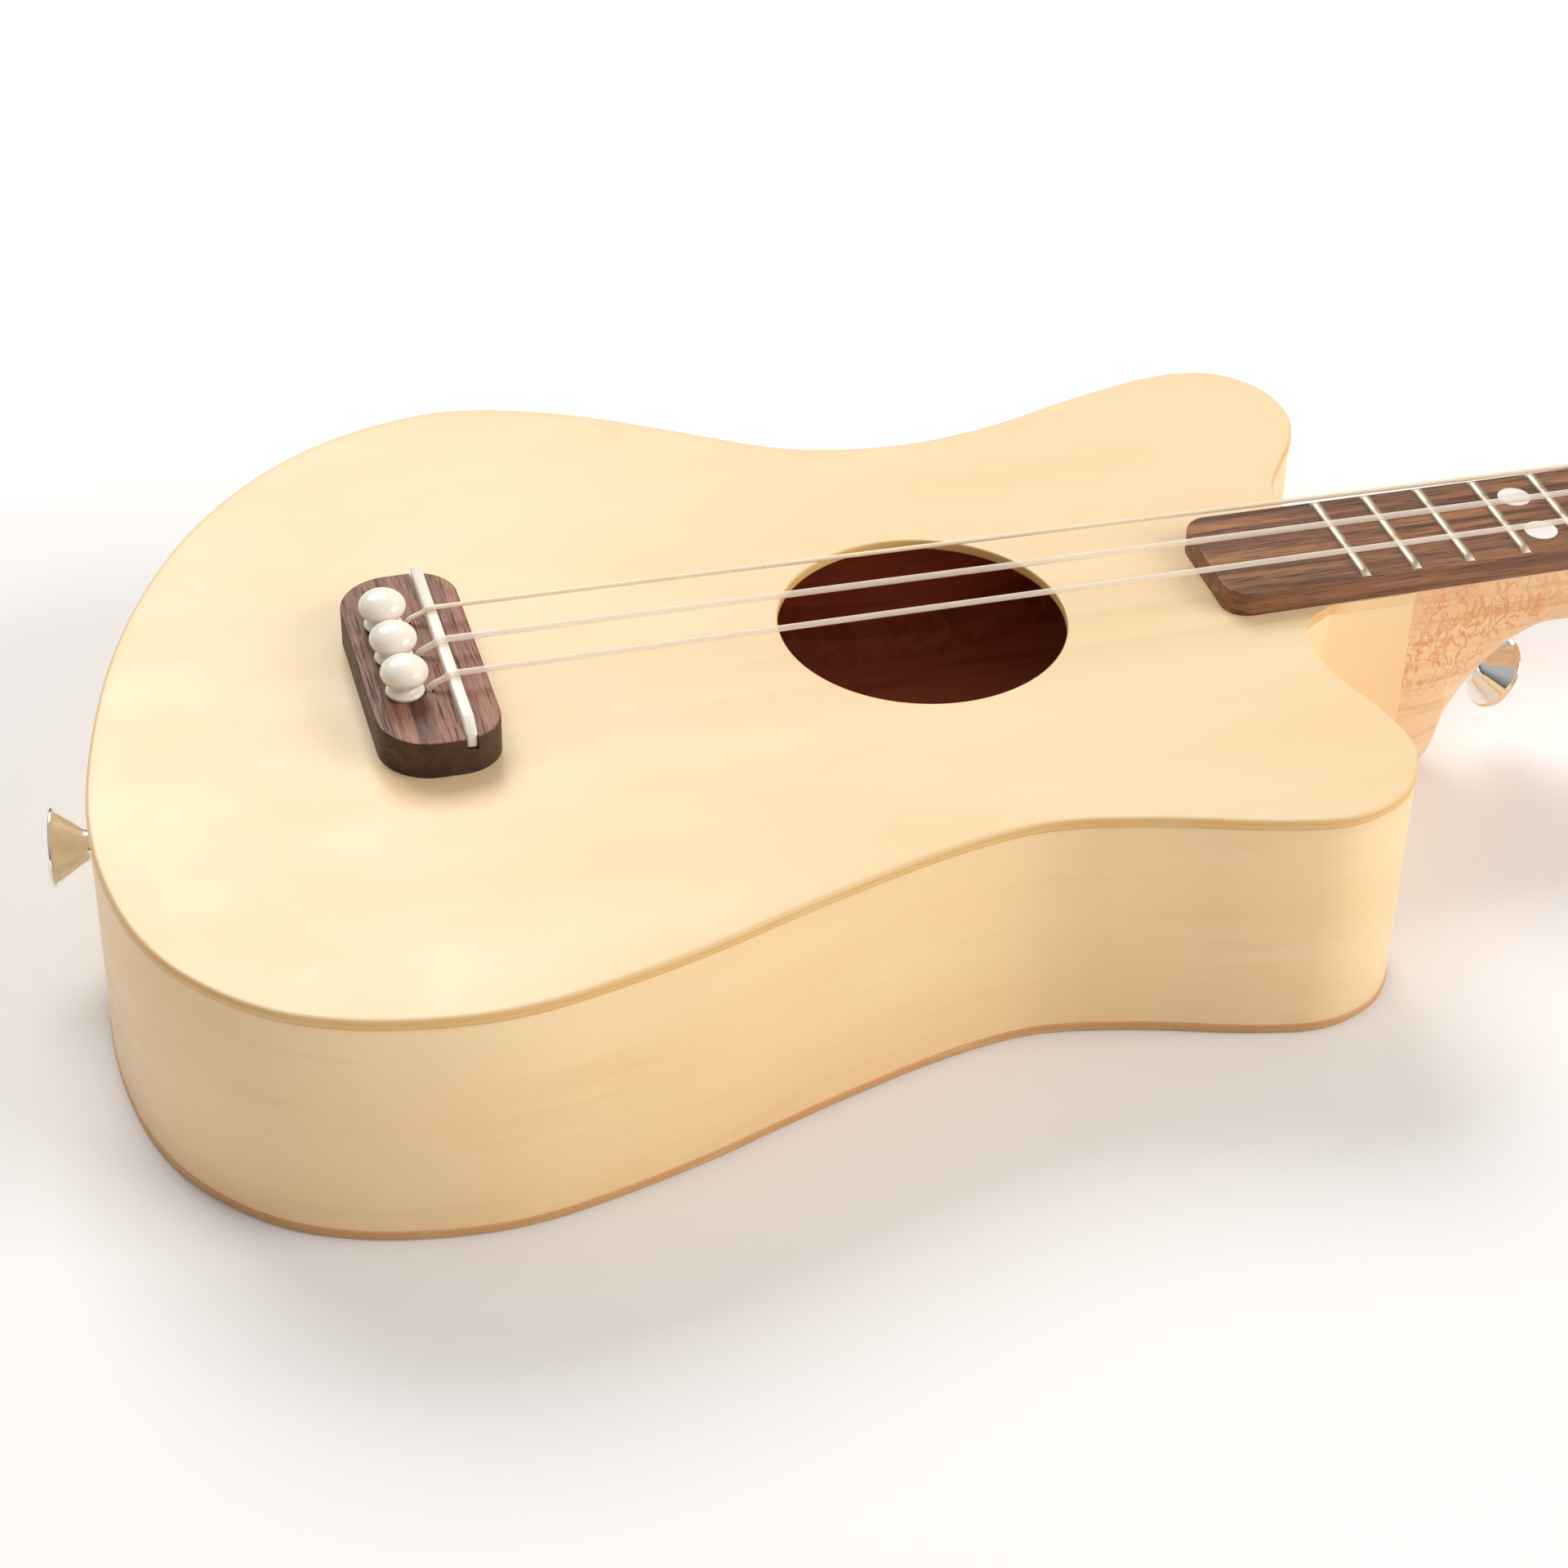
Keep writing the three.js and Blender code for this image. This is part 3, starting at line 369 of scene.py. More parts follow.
def cream_nylon():
    s = Shader("cream_nylon")
    wrap = s.grain(s.place(), (2600, 900, 900), 2, 0.5)
    tint = s.tint(rgb(252, 238, 210), rgb(244, 224, 190), wrap, 0.35, 0.7)
    return s.finish(Base_Color=tint, Roughness=s.between(wrap, 0.3, 0.7, 0.25, 0.35),
                    Normal=s.bump(wrap, 0.1, 0.00005), Transmission_Weight=0.05)


def floor_paint():
    s = Shader("floor_paint")
    cloud = s.noise(s.place(), 2.2, 3, 0.5)
    tint = s.tint((0.86, 0.85, 0.855, 1), (0.875, 0.865, 0.868, 1), cloud, 0.3, 0.7)
    return s.finish(Base_Color=tint, Roughness=0.9)


LOOKS = {
    # The fifth colour of each plate is its inside, a darker red that is partly painted shade.
    "soundboard_ply": lacquered_ply("top_ply", rgb(238, 211, 168), rgb(235, 202, 152),
                                    rgb(232, 186, 118), rgb(236, 146, 108), -1.0),
    "back_ply": lacquered_ply("back_ply", rgb(238, 211, 168), rgb(235, 202, 152),
                              rgb(202, 154, 96), rgb(236, 146, 108), 1.0),
    "side_ply": side_ply(),
    "side_inside": side_inside(),
    # The inside parts' reddish brown is partly painted shade of the dim inside of the body.
    "inner_spruce": bare_wood("inner_spruce", rgb(222, 142, 104), rgb(196, 118, 84)),
    "bridge_plate_maple": bare_wood("bridge_plate_maple", rgb(200, 156, 112), rgb(178, 130, 90)),
    # The last two values of each walnut are its side tone and share. They are partly painted shade on the
    # bridge and painted light on the fretboard.
    "bridge_walnut": walnut("bridge_walnut", pi / 2,
                            (rgb(180, 126, 100), rgb(142, 94, 74), rgb(92, 58, 46)),
                            rgb(56, 34, 25), 0.85),
    "fretboard_walnut": walnut("fretboard_walnut", 0.0,
                               (rgb(176, 122, 80), rgb(136, 92, 66), rgb(90, 58, 44)),
                               rgb(140, 96, 70), 0.4),
    "neck_wood": neck_wood(),
    "saddle_nut": polished_plastic("saddle_ivory", rgb(246, 240, 228), rgb(240, 232, 216), 0.2),
    "pin_plastic": polished_plastic("pin_ivory", rgb(248, 241, 229), rgb(242, 233, 218), 0.24, 0.12),
    "button_chrome": metal("button_chrome", (0.9, 0.89, 0.87, 1), (0.82, 0.81, 0.79, 1), 0.04, 0.06),
    "bolt_steel": metal("bolt_steel", (0.5, 0.5, 0.5, 1), (0.4, 0.4, 0.41, 1), 0.3, 0.15),
    "fret_nickel": metal("fret_nickel", (0.62, 0.54, 0.41, 1), (0.55, 0.47, 0.35, 1), 0.46, 0.1),
    "string_bass": cream_nylon(),
    "string_clear": clear_nylon(),
    "tuner_chrome": metal("tuner_chrome", (0.8, 0.8, 0.8, 1), (0.7, 0.7, 0.71, 1), 0.1, 0.12),
    "tuner_button": polished_plastic("tuner_ivory", rgb(240, 234, 222), rgb(230, 222, 206)),
}
INLAY = polished_plastic("inlay_white", rgb(246, 242, 236), rgb(240, 234, 226), 0.2)


# ---- Mesh helpers ----
def outward(mesh):
    work = bmesh.new()
    work.from_mesh(mesh)
    bmesh.ops.remove_doubles(work, verts=work.verts, dist=1e-7)
    bmesh.ops.recalc_face_normals(work, faces=work.faces)
    work.to_mesh(mesh)
    work.free()


def smoothed(mesh, smooth_angle):
    """Smooth faces, with edges past the angle kept crisp."""
    mesh.shade_smooth()
    mesh.set_sharp_from_angle(angle=radians(smooth_angle))
    return mesh


def placed(name, mesh, smooth_angle):
    made = bpy.data.objects.new(name, smoothed(mesh, smooth_angle))
    bpy.context.scene.collection.objects.link(made)
    return made


def piece(name, points, faces, smooth_angle=35):
    """A mesh object from points in millimetres."""
    mesh = bpy.data.meshes.new(name)
    mesh.from_pydata([tuple(c * MM for c in p) for p in points], [], faces)
    outward(mesh)
    return placed(name, mesh, smooth_angle)


def dress(made, look, body=ROOT, nodes=(), material=None):
    """Gives a piece its material and its body, and hides the CAD nodes it stands for."""
    made.data.materials.clear()
    made.data.materials.append(material or LOOKS[look])
    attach(made, body)
    if nodes:
        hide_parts(*nodes)
    return made


def shell(name, rings, smooth_angle=35, caps=True):
    """A piece with its surface through rings of the same number of points, closed by caps."""
    count = len(rings[0])
    points = [tuple(p) for ring in rings for p in ring]
    faces = []
    for row in range(len(rings) - 1):
        for i in range(count):
            a = row * count + i
            b = row * count + (i + 1) % count
            faces.append((a, b, b + count, a + count))
    if caps:
        faces.append(tuple(range(count - 1, -1, -1)))
        last = (len(rings) - 1) * count
        faces.append(tuple(range(last, last + count)))
    return piece(name, points, faces, smooth_angle)


def turn_angles(sides):
    return [2 * pi * i / sides for i in range(sides)]


def turned(name, profile, sides, place, smooth_angle=35, closed=False):
    """A turned piece about its own Z from [radius, height] pairs, then put in place."""
    rings = [[place @ Vector((radius * cos(a), radius * sin(a), height))
              for a in turn_angles(sides)] for radius, height in profile]
    return shell(name, rings, smooth_angle, not closed)


def rounded(profile, radius, steps):
    """The same profile with each inner corner turned into a small arc."""
    out = [profile[0]]
    for before, here, after in zip(profile, profile[1:], profile[2:]):
        p, a, b = Vector(here), Vector(before), Vector(after)
        reach = min(radius, (a - p).length * 0.45, (b - p).length * 0.45)
        start, end = p + (a - p).normalized() * reach, p + (b - p).normalized() * reach
        for i in range(steps + 1):
            t = i / steps
            out.append(tuple(start * (1 - t) ** 2 + p * 2 * t * (1 - t) + end * t ** 2))
    out.append(profile[-1])
    return out


def tube(name, path, radius, sides):
    """A round bar along a path, with its rings kept from twisting."""
    path = [Vector(p) for p in path]
    rings = []
    side = None
    for i, here in enumerate(path):
        ahead = path[min(i + 1, len(path) - 1)]
        behind = path[max(i - 1, 0)]
        forward = (ahead - behind).normalized()
        if side is None:
            side = forward.orthogonal().normalized()
        side = (side - forward * side.dot(forward)).normalized()
        other = forward.cross(side)
        rings.append([here + (side * cos(a) + other * sin(a)) * radius
                      for a in turn_angles(sides)])
    return shell(name, rings, 50)


def curve_through(points, steps, before=None, after=None):
    """Catmull-Rom curve through points; before and after steer its ends."""
    pts = [np.array(p, float) for p in points]
    first = np.array(before, float) if before is not None else 2 * pts[0] - pts[1]
    last = np.array(after, float) if after is not None else 2 * pts[-1] - pts[-2]
    full = [first, *pts, last]
    out = []
    for i in range(1, len(full) - 2):
        p0, p1, p2, p3 = full[i - 1:i + 3]
        for k in range(steps):
            t = k / steps
            out.append(0.5 * (2 * p1 + (p2 - p0) * t + (2 * p0 - 5 * p1 + 4 * p2 - p3) * t * t
                              + (3 * p1 - p0 - 3 * p2 + p3) * t ** 3))
    out.append(pts[-1])
    return out


def inset_loop(loop, inset):
    """A closed counter-clockwise loop moved inward, with mitred corners."""
    pts = np.array([(p[0], p[1]) for p in loop], float)
    before = pts - np.roll(pts, 1, axis=0)
    after = np.roll(pts, -1, axis=0) - pts
    before /= np.linalg.norm(before, axis=1, keepdims=True)
    after /= np.linalg.norm(after, axis=1, keepdims=True)
    n1 = np.stack([-before[:, 1], before[:, 0]], 1)
    n2 = np.stack([-after[:, 1], after[:, 0]], 1)
    mitre = n1 + n2
    mitre /= np.maximum(np.linalg.norm(mitre, axis=1, keepdims=True), 1e-9)
    reach = np.maximum((mitre * n1).sum(1, keepdims=True), 0.35)
    return pts + inset * mitre / reach


def at_height(loop, z):
    return [(p[0], p[1], z) for p in loop]


def stacked(loop, levels):
    """Rings of a loop moved inward and up by (inset, height) pairs."""
    return [at_height(inset_loop(loop, inset), z) for inset, z in levels]


def slab(name, outer_rings, hole_stacks=()):
    """A solid from stacked rings, bottom first, with holes right through it."""
    work = bmesh.new()

    def stack(rings):
        rows = [[work.verts.new([c * MM for c in p]) for p in ring] for ring in rings]
        count = len(rows[0])
        for low, high in zip(rows, rows[1:]):
            for i in range(count):
                j = (i + 1) % count
                work.faces.new((low[i], low[j], high[j], high[i]))
        ends = []
        for row in (rows[0], rows[-1]):
            ends.append([work.edges.get((row[i], row[(i + 1) % count])) for i in range(count)])
        return ends

    bottom, top = stack(outer_rings)
    for rings in hole_stacks:
        low, high = stack(rings)
        bottom += low
        top += high
    for edges in (bottom, top):
        bmesh.ops.triangle_fill(work, use_beauty=True, use_dissolve=False, edges=edges)
    bmesh.ops.recalc_face_normals(work, faces=work.faces)
    mesh = bpy.data.meshes.new(name)
    work.to_mesh(mesh)
    work.free()
    return placed(name, mesh, 35)


def combine(made, tools, operation="DIFFERENCE", smooth_angle=35):
    """Cuts the tools out of a piece, or joins them to it, and removes the tools."""
    for tool in tools:
        change = made.modifiers.new("combine", "BOOLEAN")
        change.operation = operation
        change.solver = "EXACT"
        change.object = tool
    graph = bpy.context.evaluated_depsgraph_get()
    mesh = bpy.data.meshes.new_from_object(made.evaluated_get(graph))
    made.modifiers.clear()
    made.data = smoothed(mesh, smooth_angle)
    for tool in tools:
        bpy.data.objects.remove(tool)
    return made


def block(name, low, high):
    corners = [(x, y, z) for x in (low[0], high[0]) for y in (low[1], high[1]) for z in (low[2], high[2])]
    faces = [(0, 1, 3, 2), (4, 6, 7, 5), (0, 4, 5, 1), (2, 3, 7, 6), (0, 2, 6, 4), (1, 5, 7, 3)]
    return piece(name, corners, faces)


def round_rod(name, radius, start, end, sides=32):
    """A round bar from one point to another."""
    start, end = Vector(start), Vector(end)
    turn = (end - start).to_track_quat("Z", "Y").to_matrix().to_4x4()
    place = Matrix.Translation(start) @ turn
    return turned(name, [(radius, 0), (radius, (end - start).length)], sides, place)


def circle(x, y, radius, sides):
    return [(x + radius * cos(a), y + radius * sin(a)) for a in turn_angles(sides)]


def arc(x, y, radius, start, end, steps):
    """Points of an arc, with its angles in degrees."""
    out = []
    for i in range(steps + 1):
        angle = radians(start + (end - start) * i / steps)
        out.append((x + radius * cos(angle), y + radius * sin(angle)))
    return out


# ---- Body outline, taken from the top plate's CAD mesh ----
def cad_outline(node, height):
    """A body outline's corner points at one height, round from the bass corner of the tongue."""
    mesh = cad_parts[node].data
    near = {}
    for vertex in mesh.vertices:
        if abs(vertex.co.z / MM - height) < 0.01:
            near[vertex.index] = (round(vertex.co.x / MM, 3), round(vertex.co.y / MM, 3))
    joined = {}
    for edge in mesh.edges:
        a, b = edge.vertices
        if a in near and b in near and near[a] != near[b]:
            joined.setdefault(near[a], set()).add(near[b])
            joined.setdefault(near[b], set()).add(near[a])
    start = max((p for p in joined if abs(p[0] - NECK_JOINT_X) < 0.02), key=lambda p: p[1])
    walk = [start]
    last, here = None, start
    while True:
        options = [p for p in joined[here] if p != last]
        if last is None:
            options.sort(key=lambda p: -p[1])
        last, here = here, options[0]
        if here == start:
            return walk
        walk.append(here)


EDGE_LEVEL = TOP_INSIDE + 0.5
CORNERS = cad_outline("top_plate", EDGE_LEVEL)
OUTLINE_STEPS = 4


def steer(end, inner, straight):
    """A point past the end of a curve, along the straight side and as far off as the inner one."""
    end, inner, straight = np.array(end), np.array(inner), np.array(straight)
    along = (straight - end) / np.linalg.norm(straight - end)
    return end + along * np.linalg.norm(inner - end)


SIDE_CURVE = curve_through(CORNERS[1:-1], OUTLINE_STEPS, steer(*CORNERS[1:3], CORNERS[0]),
                           steer(*CORNERS[-2:-4:-1], CORNERS[-1]))
BODY_LOOP = [CORNERS[0], *[tuple(p) for p in SIDE_CURVE], CORNERS[-1]]


def body_ring(inset, z, crisp_tongue=False):
    """The body outline moved inward, with the end of the tongue kept in its plane. A crisp
    tongue takes little of the inset beside the neck."""
    ring = inset_loop(BODY_LOOP, inset)
    if crisp_tongue:
        loop = np.array(BODY_LOOP, float)
        away = np.maximum(np.abs(loop[:, 1]) - 18, 0) / 10
        share = np.where(loop[:, 0] > 150, np.clip(away, 0.08, 1), 1)[:, None]
        ring = loop + (ring - loop) * share
    ring[0, 0] = ring[-1, 0] = CORNERS[0][0]
    return at_height(ring, z)


def edge_profile(low, high, low_radius, high_radius, steps=4):
    """(inset, height) pairs up a plate's edge, rounded at the bottom and the top."""
    out = []
    for i in range(steps + 1):
        angle = pi / 2 * i / steps
        out.append((low_radius * (1 - sin(angle)), low + low_radius * (1 - cos(angle))))
    for i in range(steps + 1):
        angle = pi / 2 * i / steps
        out.append((high_radius * (1 - cos(angle)), high - high_radius * (1 - sin(angle))))
    return out


PIN_X = (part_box("bridge_pin_middle")[0].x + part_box("bridge_pin_middle")[1].x) / 2 / MM
PIN_HOLE = 2.75
STRING_DROP_X = PIN_X + 4.1
STRING_SLOT = 0.8


def pin_hole_loop(y):
    """A pin hole's outline: a circle with a slot towards the saddle."""
    opening = degrees(asin(STRING_SLOT / PIN_HOLE))
    loop = arc(PIN_X, y, PIN_HOLE, opening, 360 - opening, 24)
    slot_end = STRING_DROP_X + STRING_SLOT
    return [*loop, (slot_end, y - STRING_SLOT), (slot_end, y + STRING_SLOT)]


def build_plates():
    flat_margin = 2.2
    top_edge = edge_profile(TOP_INSIDE, BODY_DEPTH, 0.12, 0.8)
    rings = [body_ring(flat_margin, TOP_INSIDE), *[body_ring(i, z, True) for i, z in top_edge],
             body_ring(flat_margin, BODY_DEPTH)]
    hole_edge = edge_profile(TOP_INSIDE, BODY_DEPTH, 0.25, 0.35)
    hole = [(1.2, TOP_INSIDE), *hole_edge, (1.2, BODY_DEPTH)]
    sound_hole = [at_height(circle(HOLE_X, 0, HOLE_RADIUS + inset, 96), z) for inset, z in hole]
    pin_holes = []
    for y in STRING_Y_SADDLE:
        loop = pin_hole_loop(y)
        pin_holes.append([at_height(loop, TOP_INSIDE), at_height(loop, BODY_DEPTH)])
    top = slab("soundboard", rings, [sound_hole, *pin_holes])
    dress(top, "soundboard_ply", nodes=["top_plate"])

    back_edge = edge_profile(0, PLATE, 0.8, 0.12)
    rings = [body_ring(flat_margin, 0), *[body_ring(i, z) for i, z in back_edge],
             body_ring(flat_margin, PLATE)]
    back = slab("back_board", rings)
    dress(back, "soundboard_ply", nodes=["back_plate"], material=LOOKS["back_ply"])


def distance_to_line(point, line):
    """How far a flat point lies from the nearest part of a line through points."""
    start, run = line[:-1], np.diff(line, axis=0)
    share = np.clip(((point - start) * run).sum(1) / (run ** 2).sum(1), 0, 1)
    return np.linalg.norm(start + run * share[:, None] - point, axis=1).min()


def build_side():
    """The bent side. It keeps each point's distance along it and its height, for the grain."""
    outer = body_ring(OVERHANG, 0)
    inner = body_ring(SIDE_INSIDE, 0)
    outline = [*outer, *reversed(inner)]
    rings = []
    for inset, z in edge_profile(PLATE, TOP_INSIDE, 0.1, 0.1, 2):
        rings.append(at_height(inset_loop(outline, inset) if inset > 0 else outline, z))
    made = slab("bent_side", rings)
    place = Matrix.Translation(TAIL_FACE) @ Matrix.Rotation(TAIL_TURN, 4, "Z")
    drill = round_rod("tail_drill", BUTTON_BORE, place @ Vector((-5, 0, 0)), place @ Vector((15, 0, 0)))
    combine(made, [drill])
    spine = np.array(outer)[:, :2]
    run = np.cumsum([0, *np.linalg.norm(np.diff(spine, axis=0), axis=1)])
    layer = made.data.attributes.new("grain", "FLOAT_VECTOR", "POINT")
    for vertex in made.data.vertices:
        at = np.array([vertex.co.x, vertex.co.y]) / MM
        nearest = int(np.argmin(((spine - at) ** 2).sum(1)))
        layer.data[vertex.index].vector = (run[nearest] * MM, vertex.co.z, 0)
    dress(made, "side_ply", nodes=["rim"])
    made.data.materials.append(LOOKS["side_inside"])
    for face in made.data.polygons:
        if distance_to_line(np.array(face.center[:2]) / MM, spine) > SIDE_INSIDE - OVERHANG - 0.6:
            face.material_index = 1


# ---- Strap buttons, standing along their own +Z from the wood ----
TAIL_TURN = radians(-9)
TAIL_FACE = (-60.9, 0, 23.5)
REST_GAP = 0.3
HEEL_TILT = radians(30)
HEEL_BUTTON = (196.7, 0, 20.3)
BUTTON_BORE = 2.2
BUTTON_HEIGHT = 9.4


def button_places():
    tail = (Matrix.Translation(TAIL_FACE) @ Matrix.Rotation(TAIL_TURN, 4, "Z")
            @ Matrix.Translation((-REST_GAP, 0, 0)) @ Matrix.Rotation(-pi / 2, 4, "Y"))
    heel = Matrix.Translation(HEEL_BUTTON) @ Matrix.Rotation(pi / 2 + HEEL_TILT, 4, "Y")
    return {"tail": tail, "heel": heel}


def build_strap_buttons():
    h = BUTTON_HEIGHT
    shape = [(2.2, 0), (3.3, 0), (3.3, 0.8), (2.95, 1.15), (2.75, 1.9), (2.75, 2.7), (2.95, 3.4), (3.5, 4.2),
             (6.75, h - 1.0), (7.25, h - 0.75), (7.25, h - 0.35), (6.8, h), (3.9, h), (3.7, h - 0.1),
             (2.2, h - 2.2)]
    head = [(0, -17), (0.6, -16.6), (1.8, -13), (1.8, h - 2.4), (3.4, h - 0.6), (3.4, h - 0.3),
            (2.4, h + 0.1), (0, h + 0.25)]
    for where, place in button_places().items():
        profile = rounded(shape, 0.35, 4)
        made = turned(f"strap_button_{where}.look", [*profile, profile[0]], 72, place, 30, closed=True)
        dress(made, "button_chrome", nodes=[f"strap_button_{where}"])
        screw = turned(f"strap_screw_{where}.look", rounded(head, 0.2, 3), 40, place, 30)
        tools = []
        for turn in (0, pi / 2):
            spin = place @ Matrix.Rotation(turn, 4, "Z")
            bar = block("cross", (-1.9, -0.35, h - 0.9), (1.9, 0.35, h + 1))
            bar.data.transform(Matrix.Scale(MM, 4) @ spin @ Matrix.Scale(1 / MM, 4))
            tools.append(bar)
        combine(screw, tools)
        dress(screw, "button_chrome", nodes=[f"strap_screw_{where}"])


# ---- Neck ----
HEEL_END = 188.2
SCOOP_END = 208.8
SCOOP_POWER = 1.25
SIDE_FLAT = 3.5
NECK_UNDER = 30.1
HEAD_TOP = 44
HEAD_UNDER = 31
HEAD_JOIN = 412
BOARD_HALF_START = 13.4
BOARD_HALF_NUT = 12.2
STRAIGHT_START = 240
STRAIGHT_END = SCALE_LENGTH + 4
HEEL_POWERS = [(NECK_JOINT_X, 8), (181.7, 5), (185.5, 3.2), (HEEL_END, 2.5)]


def board_half(x):
    share = (SCALE_LENGTH - x) / (SCALE_LENGTH - BOARD_LOW.x)
    return BOARD_HALF_NUT + (BOARD_HALF_START - BOARD_HALF_NUT) * share


def neck_section(x, underside, power, top):
    """One section across the neck: a superellipse under two straight sides."""
    half = board_half(min(x, SCALE_LENGTH))
    shoulder = top - SIDE_FLAT
    steps = 28
    ring = [(x, half - 0.3, top), (x, half, top - 0.3)]
    for step in range(-steps, steps + 1):
        angle = step / steps * pi / 2
        y = -half * copysign(abs(sin(angle)) ** (2 / power), angle)
        z = shoulder - (shoulder - underside) * abs(cos(angle)) ** (2 / power)
        ring.append((x, y, z))
    return [*ring, (x, -half, top - 0.3), (x, 0.3 - half, top)]


def neck_sections():
    sections = []
    xs, powers = zip(*HEEL_POWERS)
    for x in np.linspace(NECK_JOINT_X, HEEL_END - 1, 12):
        sections.append(neck_section(x, 0, float(np.interp(x, xs, powers)), BODY_DEPTH))
    for angle in map(radians, range(0, 91, 3)):
        x = SCOOP_END - (SCOOP_END - HEEL_END) * cos(angle) ** SCOOP_POWER
        power = 2.35 + 0.15 * cos(angle) ** 2
        underside = NECK_UNDER * sin(angle) ** SCOOP_POWER
        sections.append(neck_section(x, underside, power, BODY_DEPTH))
    for x in np.linspace(STRAIGHT_START, STRAIGHT_END, 8):
        share = (x - STRAIGHT_START) / (STRAIGHT_END - STRAIGHT_START)
        sections.append(neck_section(x, NECK_UNDER, 2.35 + 0.05 * share, BODY_DEPTH))
    sections.append(neck_section(SCALE_LENGTH + 8, NECK_UNDER + 0.3, 2.8, HEAD_TOP + 1.1))
    sections.append(neck_section(HEAD_JOIN, HEAD_UNDER, 4, HEAD_TOP))
    return sections


POST_X = [428, 450, 472]
POST_Y = [y + 3.2 for y in STRING_Y_NUT]
POST_HOLE = 4.5


def bezier(start, first, second, end, steps):
    p = [np.array(q, float) for q in (start, first, second, end)]
    out = []
    for i in range(1, steps + 1):
        t = i / steps
        out.append(tuple(p[0] * (1 - t) ** 3 + 3 * p[1] * t * (1 - t) ** 2 + 3 * p[2] * t * t * (1 - t)
                         + p[3] * t ** 3))
    return out


def head_loop():
    """Outline of the head, counter-clockwise, as in the CAD."""
    edge = 10.5
    shoulder = POST_Y[0] + edge
    crest = (420, shoulder + 2)
    side_end = (POST_X[2] + 8, POST_Y[2] + edge - 2.7)
    neck_edge = (404, 12.1)
    loop = [(neck_edge[0], -neck_edge[1]), neck_edge]
    loop += bezier(neck_edge, (410, 12.5), (412, 20), crest, 14)
    loop += bezier(crest, (423, shoulder + 2.6), (426, shoulder + 0.8), (POST_X[0], shoulder), 8)
    loop.append(side_end)
    loop += bezier(side_end, (497, -0.4), (497, -20), (484, -18.6), 24)
    loop += bezier((484, -18.6), (460, -16.4), (430, -16), (418, -13.4), 14)
    return loop[::-1]


def build_neck():
    neck = shell("neck_shaft", neck_sections())
    head = slab("head", stacked(head_loop(), edge_profile(HEAD_UNDER, HEAD_TOP, 1.2, 1.2, 5)))
    combine(neck, [head], "UNION")
    place = Matrix.Translation(HEEL_BUTTON) @ Matrix.Rotation(HEEL_TILT, 4, "Y")
    tools = [round_rod("bore", BUTTON_BORE, place @ Vector((-18, 0, 0)), place @ Vector((6, 0, 0))),
             round_rod("spot", 3.6, place @ Vector((-REST_GAP, 0, 0)), place @ Vector((6, 0, 0)))]
    tools += [round_rod("bolt", 3.3, (NECK_JOINT_X - 1, 0, z), (187, 0, z)) for z in (36, 8)]
    tools += [round_rod("post", POST_HOLE, (x, y, 20), (x, y, 60)) for x, y in zip(POST_X, POST_Y)]
    combine(neck, tools)
    dress(neck, "neck_wood", nodes=["neck"])


# ---- Fretboard, frets, dots and nut ----
BOARD_CORNER = 4.8
DOT_RADIUS = 3.1


def build_fretboard():
    near = BOARD_LOW.x + BOARD_CORNER
    half = board_half(BOARD_LOW.x)
    start = arc(near, half - BOARD_CORNER, BOARD_CORNER, 90, 180, 12)
    end = arc(near, BOARD_CORNER - half, BOARD_CORNER, 180, 270, 12)
    loop = [(SCALE_LENGTH, -BOARD_HALF_NUT), (SCALE_LENGTH, BOARD_HALF_NUT),
            (near, board_half(near)), *start[1:], *end[:-1], (near, -board_half(near))]
    levels = edge_profile(BODY_DEPTH, BOARD_TOP, 0.02, 0.35, 4)
    rings = []
    for inset, z in [*levels, (0.9, BOARD_TOP)]:
        ring = inset_loop(loop, inset)
        ring[0, 0] = ring[1, 0] = SCALE_LENGTH
        rings.append(at_height(ring, z))
    dress(slab("fingerboard", rings), "fretboard_walnut", nodes=["fretboard"])


def fret_x(number):
    return SCALE_LENGTH * 2 ** (-number / 12)


def build_frets():
    half_width, height = 0.95, 0.85
    crown = []
    for k in range(17):
        angle = pi - pi * k / 16
        reach, rise = cos(angle), sin(angle)
        crown.append((half_width * copysign(abs(reach) ** 0.9, reach), height * rise ** 0.8))
    for number in range(1, FRETS + 1):
        x = fret_x(number)
        half = board_half(x) - 0.5
        rings = []
        ends = [(0, 0.1), (0.12, 0.3), (1.15, 0.92), (1.35, 0.99), (1.6, 1.0)]
        stations = [(-half + d, s) for d, s in ends] + [(half - d, s) for d, s in reversed(ends)]
        for y, share in stations:
            rings.append([(x + dx, y, BOARD_TOP + dz * share) for dx, dz in crown])
        name = f"fret_{number:02d}"
        dress(shell(name + ".look", rings, 40), "fret_nickel", nodes=[name])


def build_dots():
    """Round inlays level with the fretboard, two at the twelfth fret."""
    places = [(number, 0.0) for number in (3, 5, 7, 9)] + [(12, -5.9), (12, 5.9)]
    for i, (number, y) in enumerate(places):
        x = (fret_x(number) + fret_x(number - 1)) / 2
        r = DOT_RADIUS
        profile = [(0, -0.8), (r, -0.8), (r, 0.0), (r - 0.12, 0.035), (r * 0.5, 0.05), (0, 0.05)]
        place = Matrix.Translation((x, y, BOARD_TOP))
        made = turned(f"position_dot_{i + 1}", profile, 48, place)
        dress(made, "saddle_nut", material=INLAY)


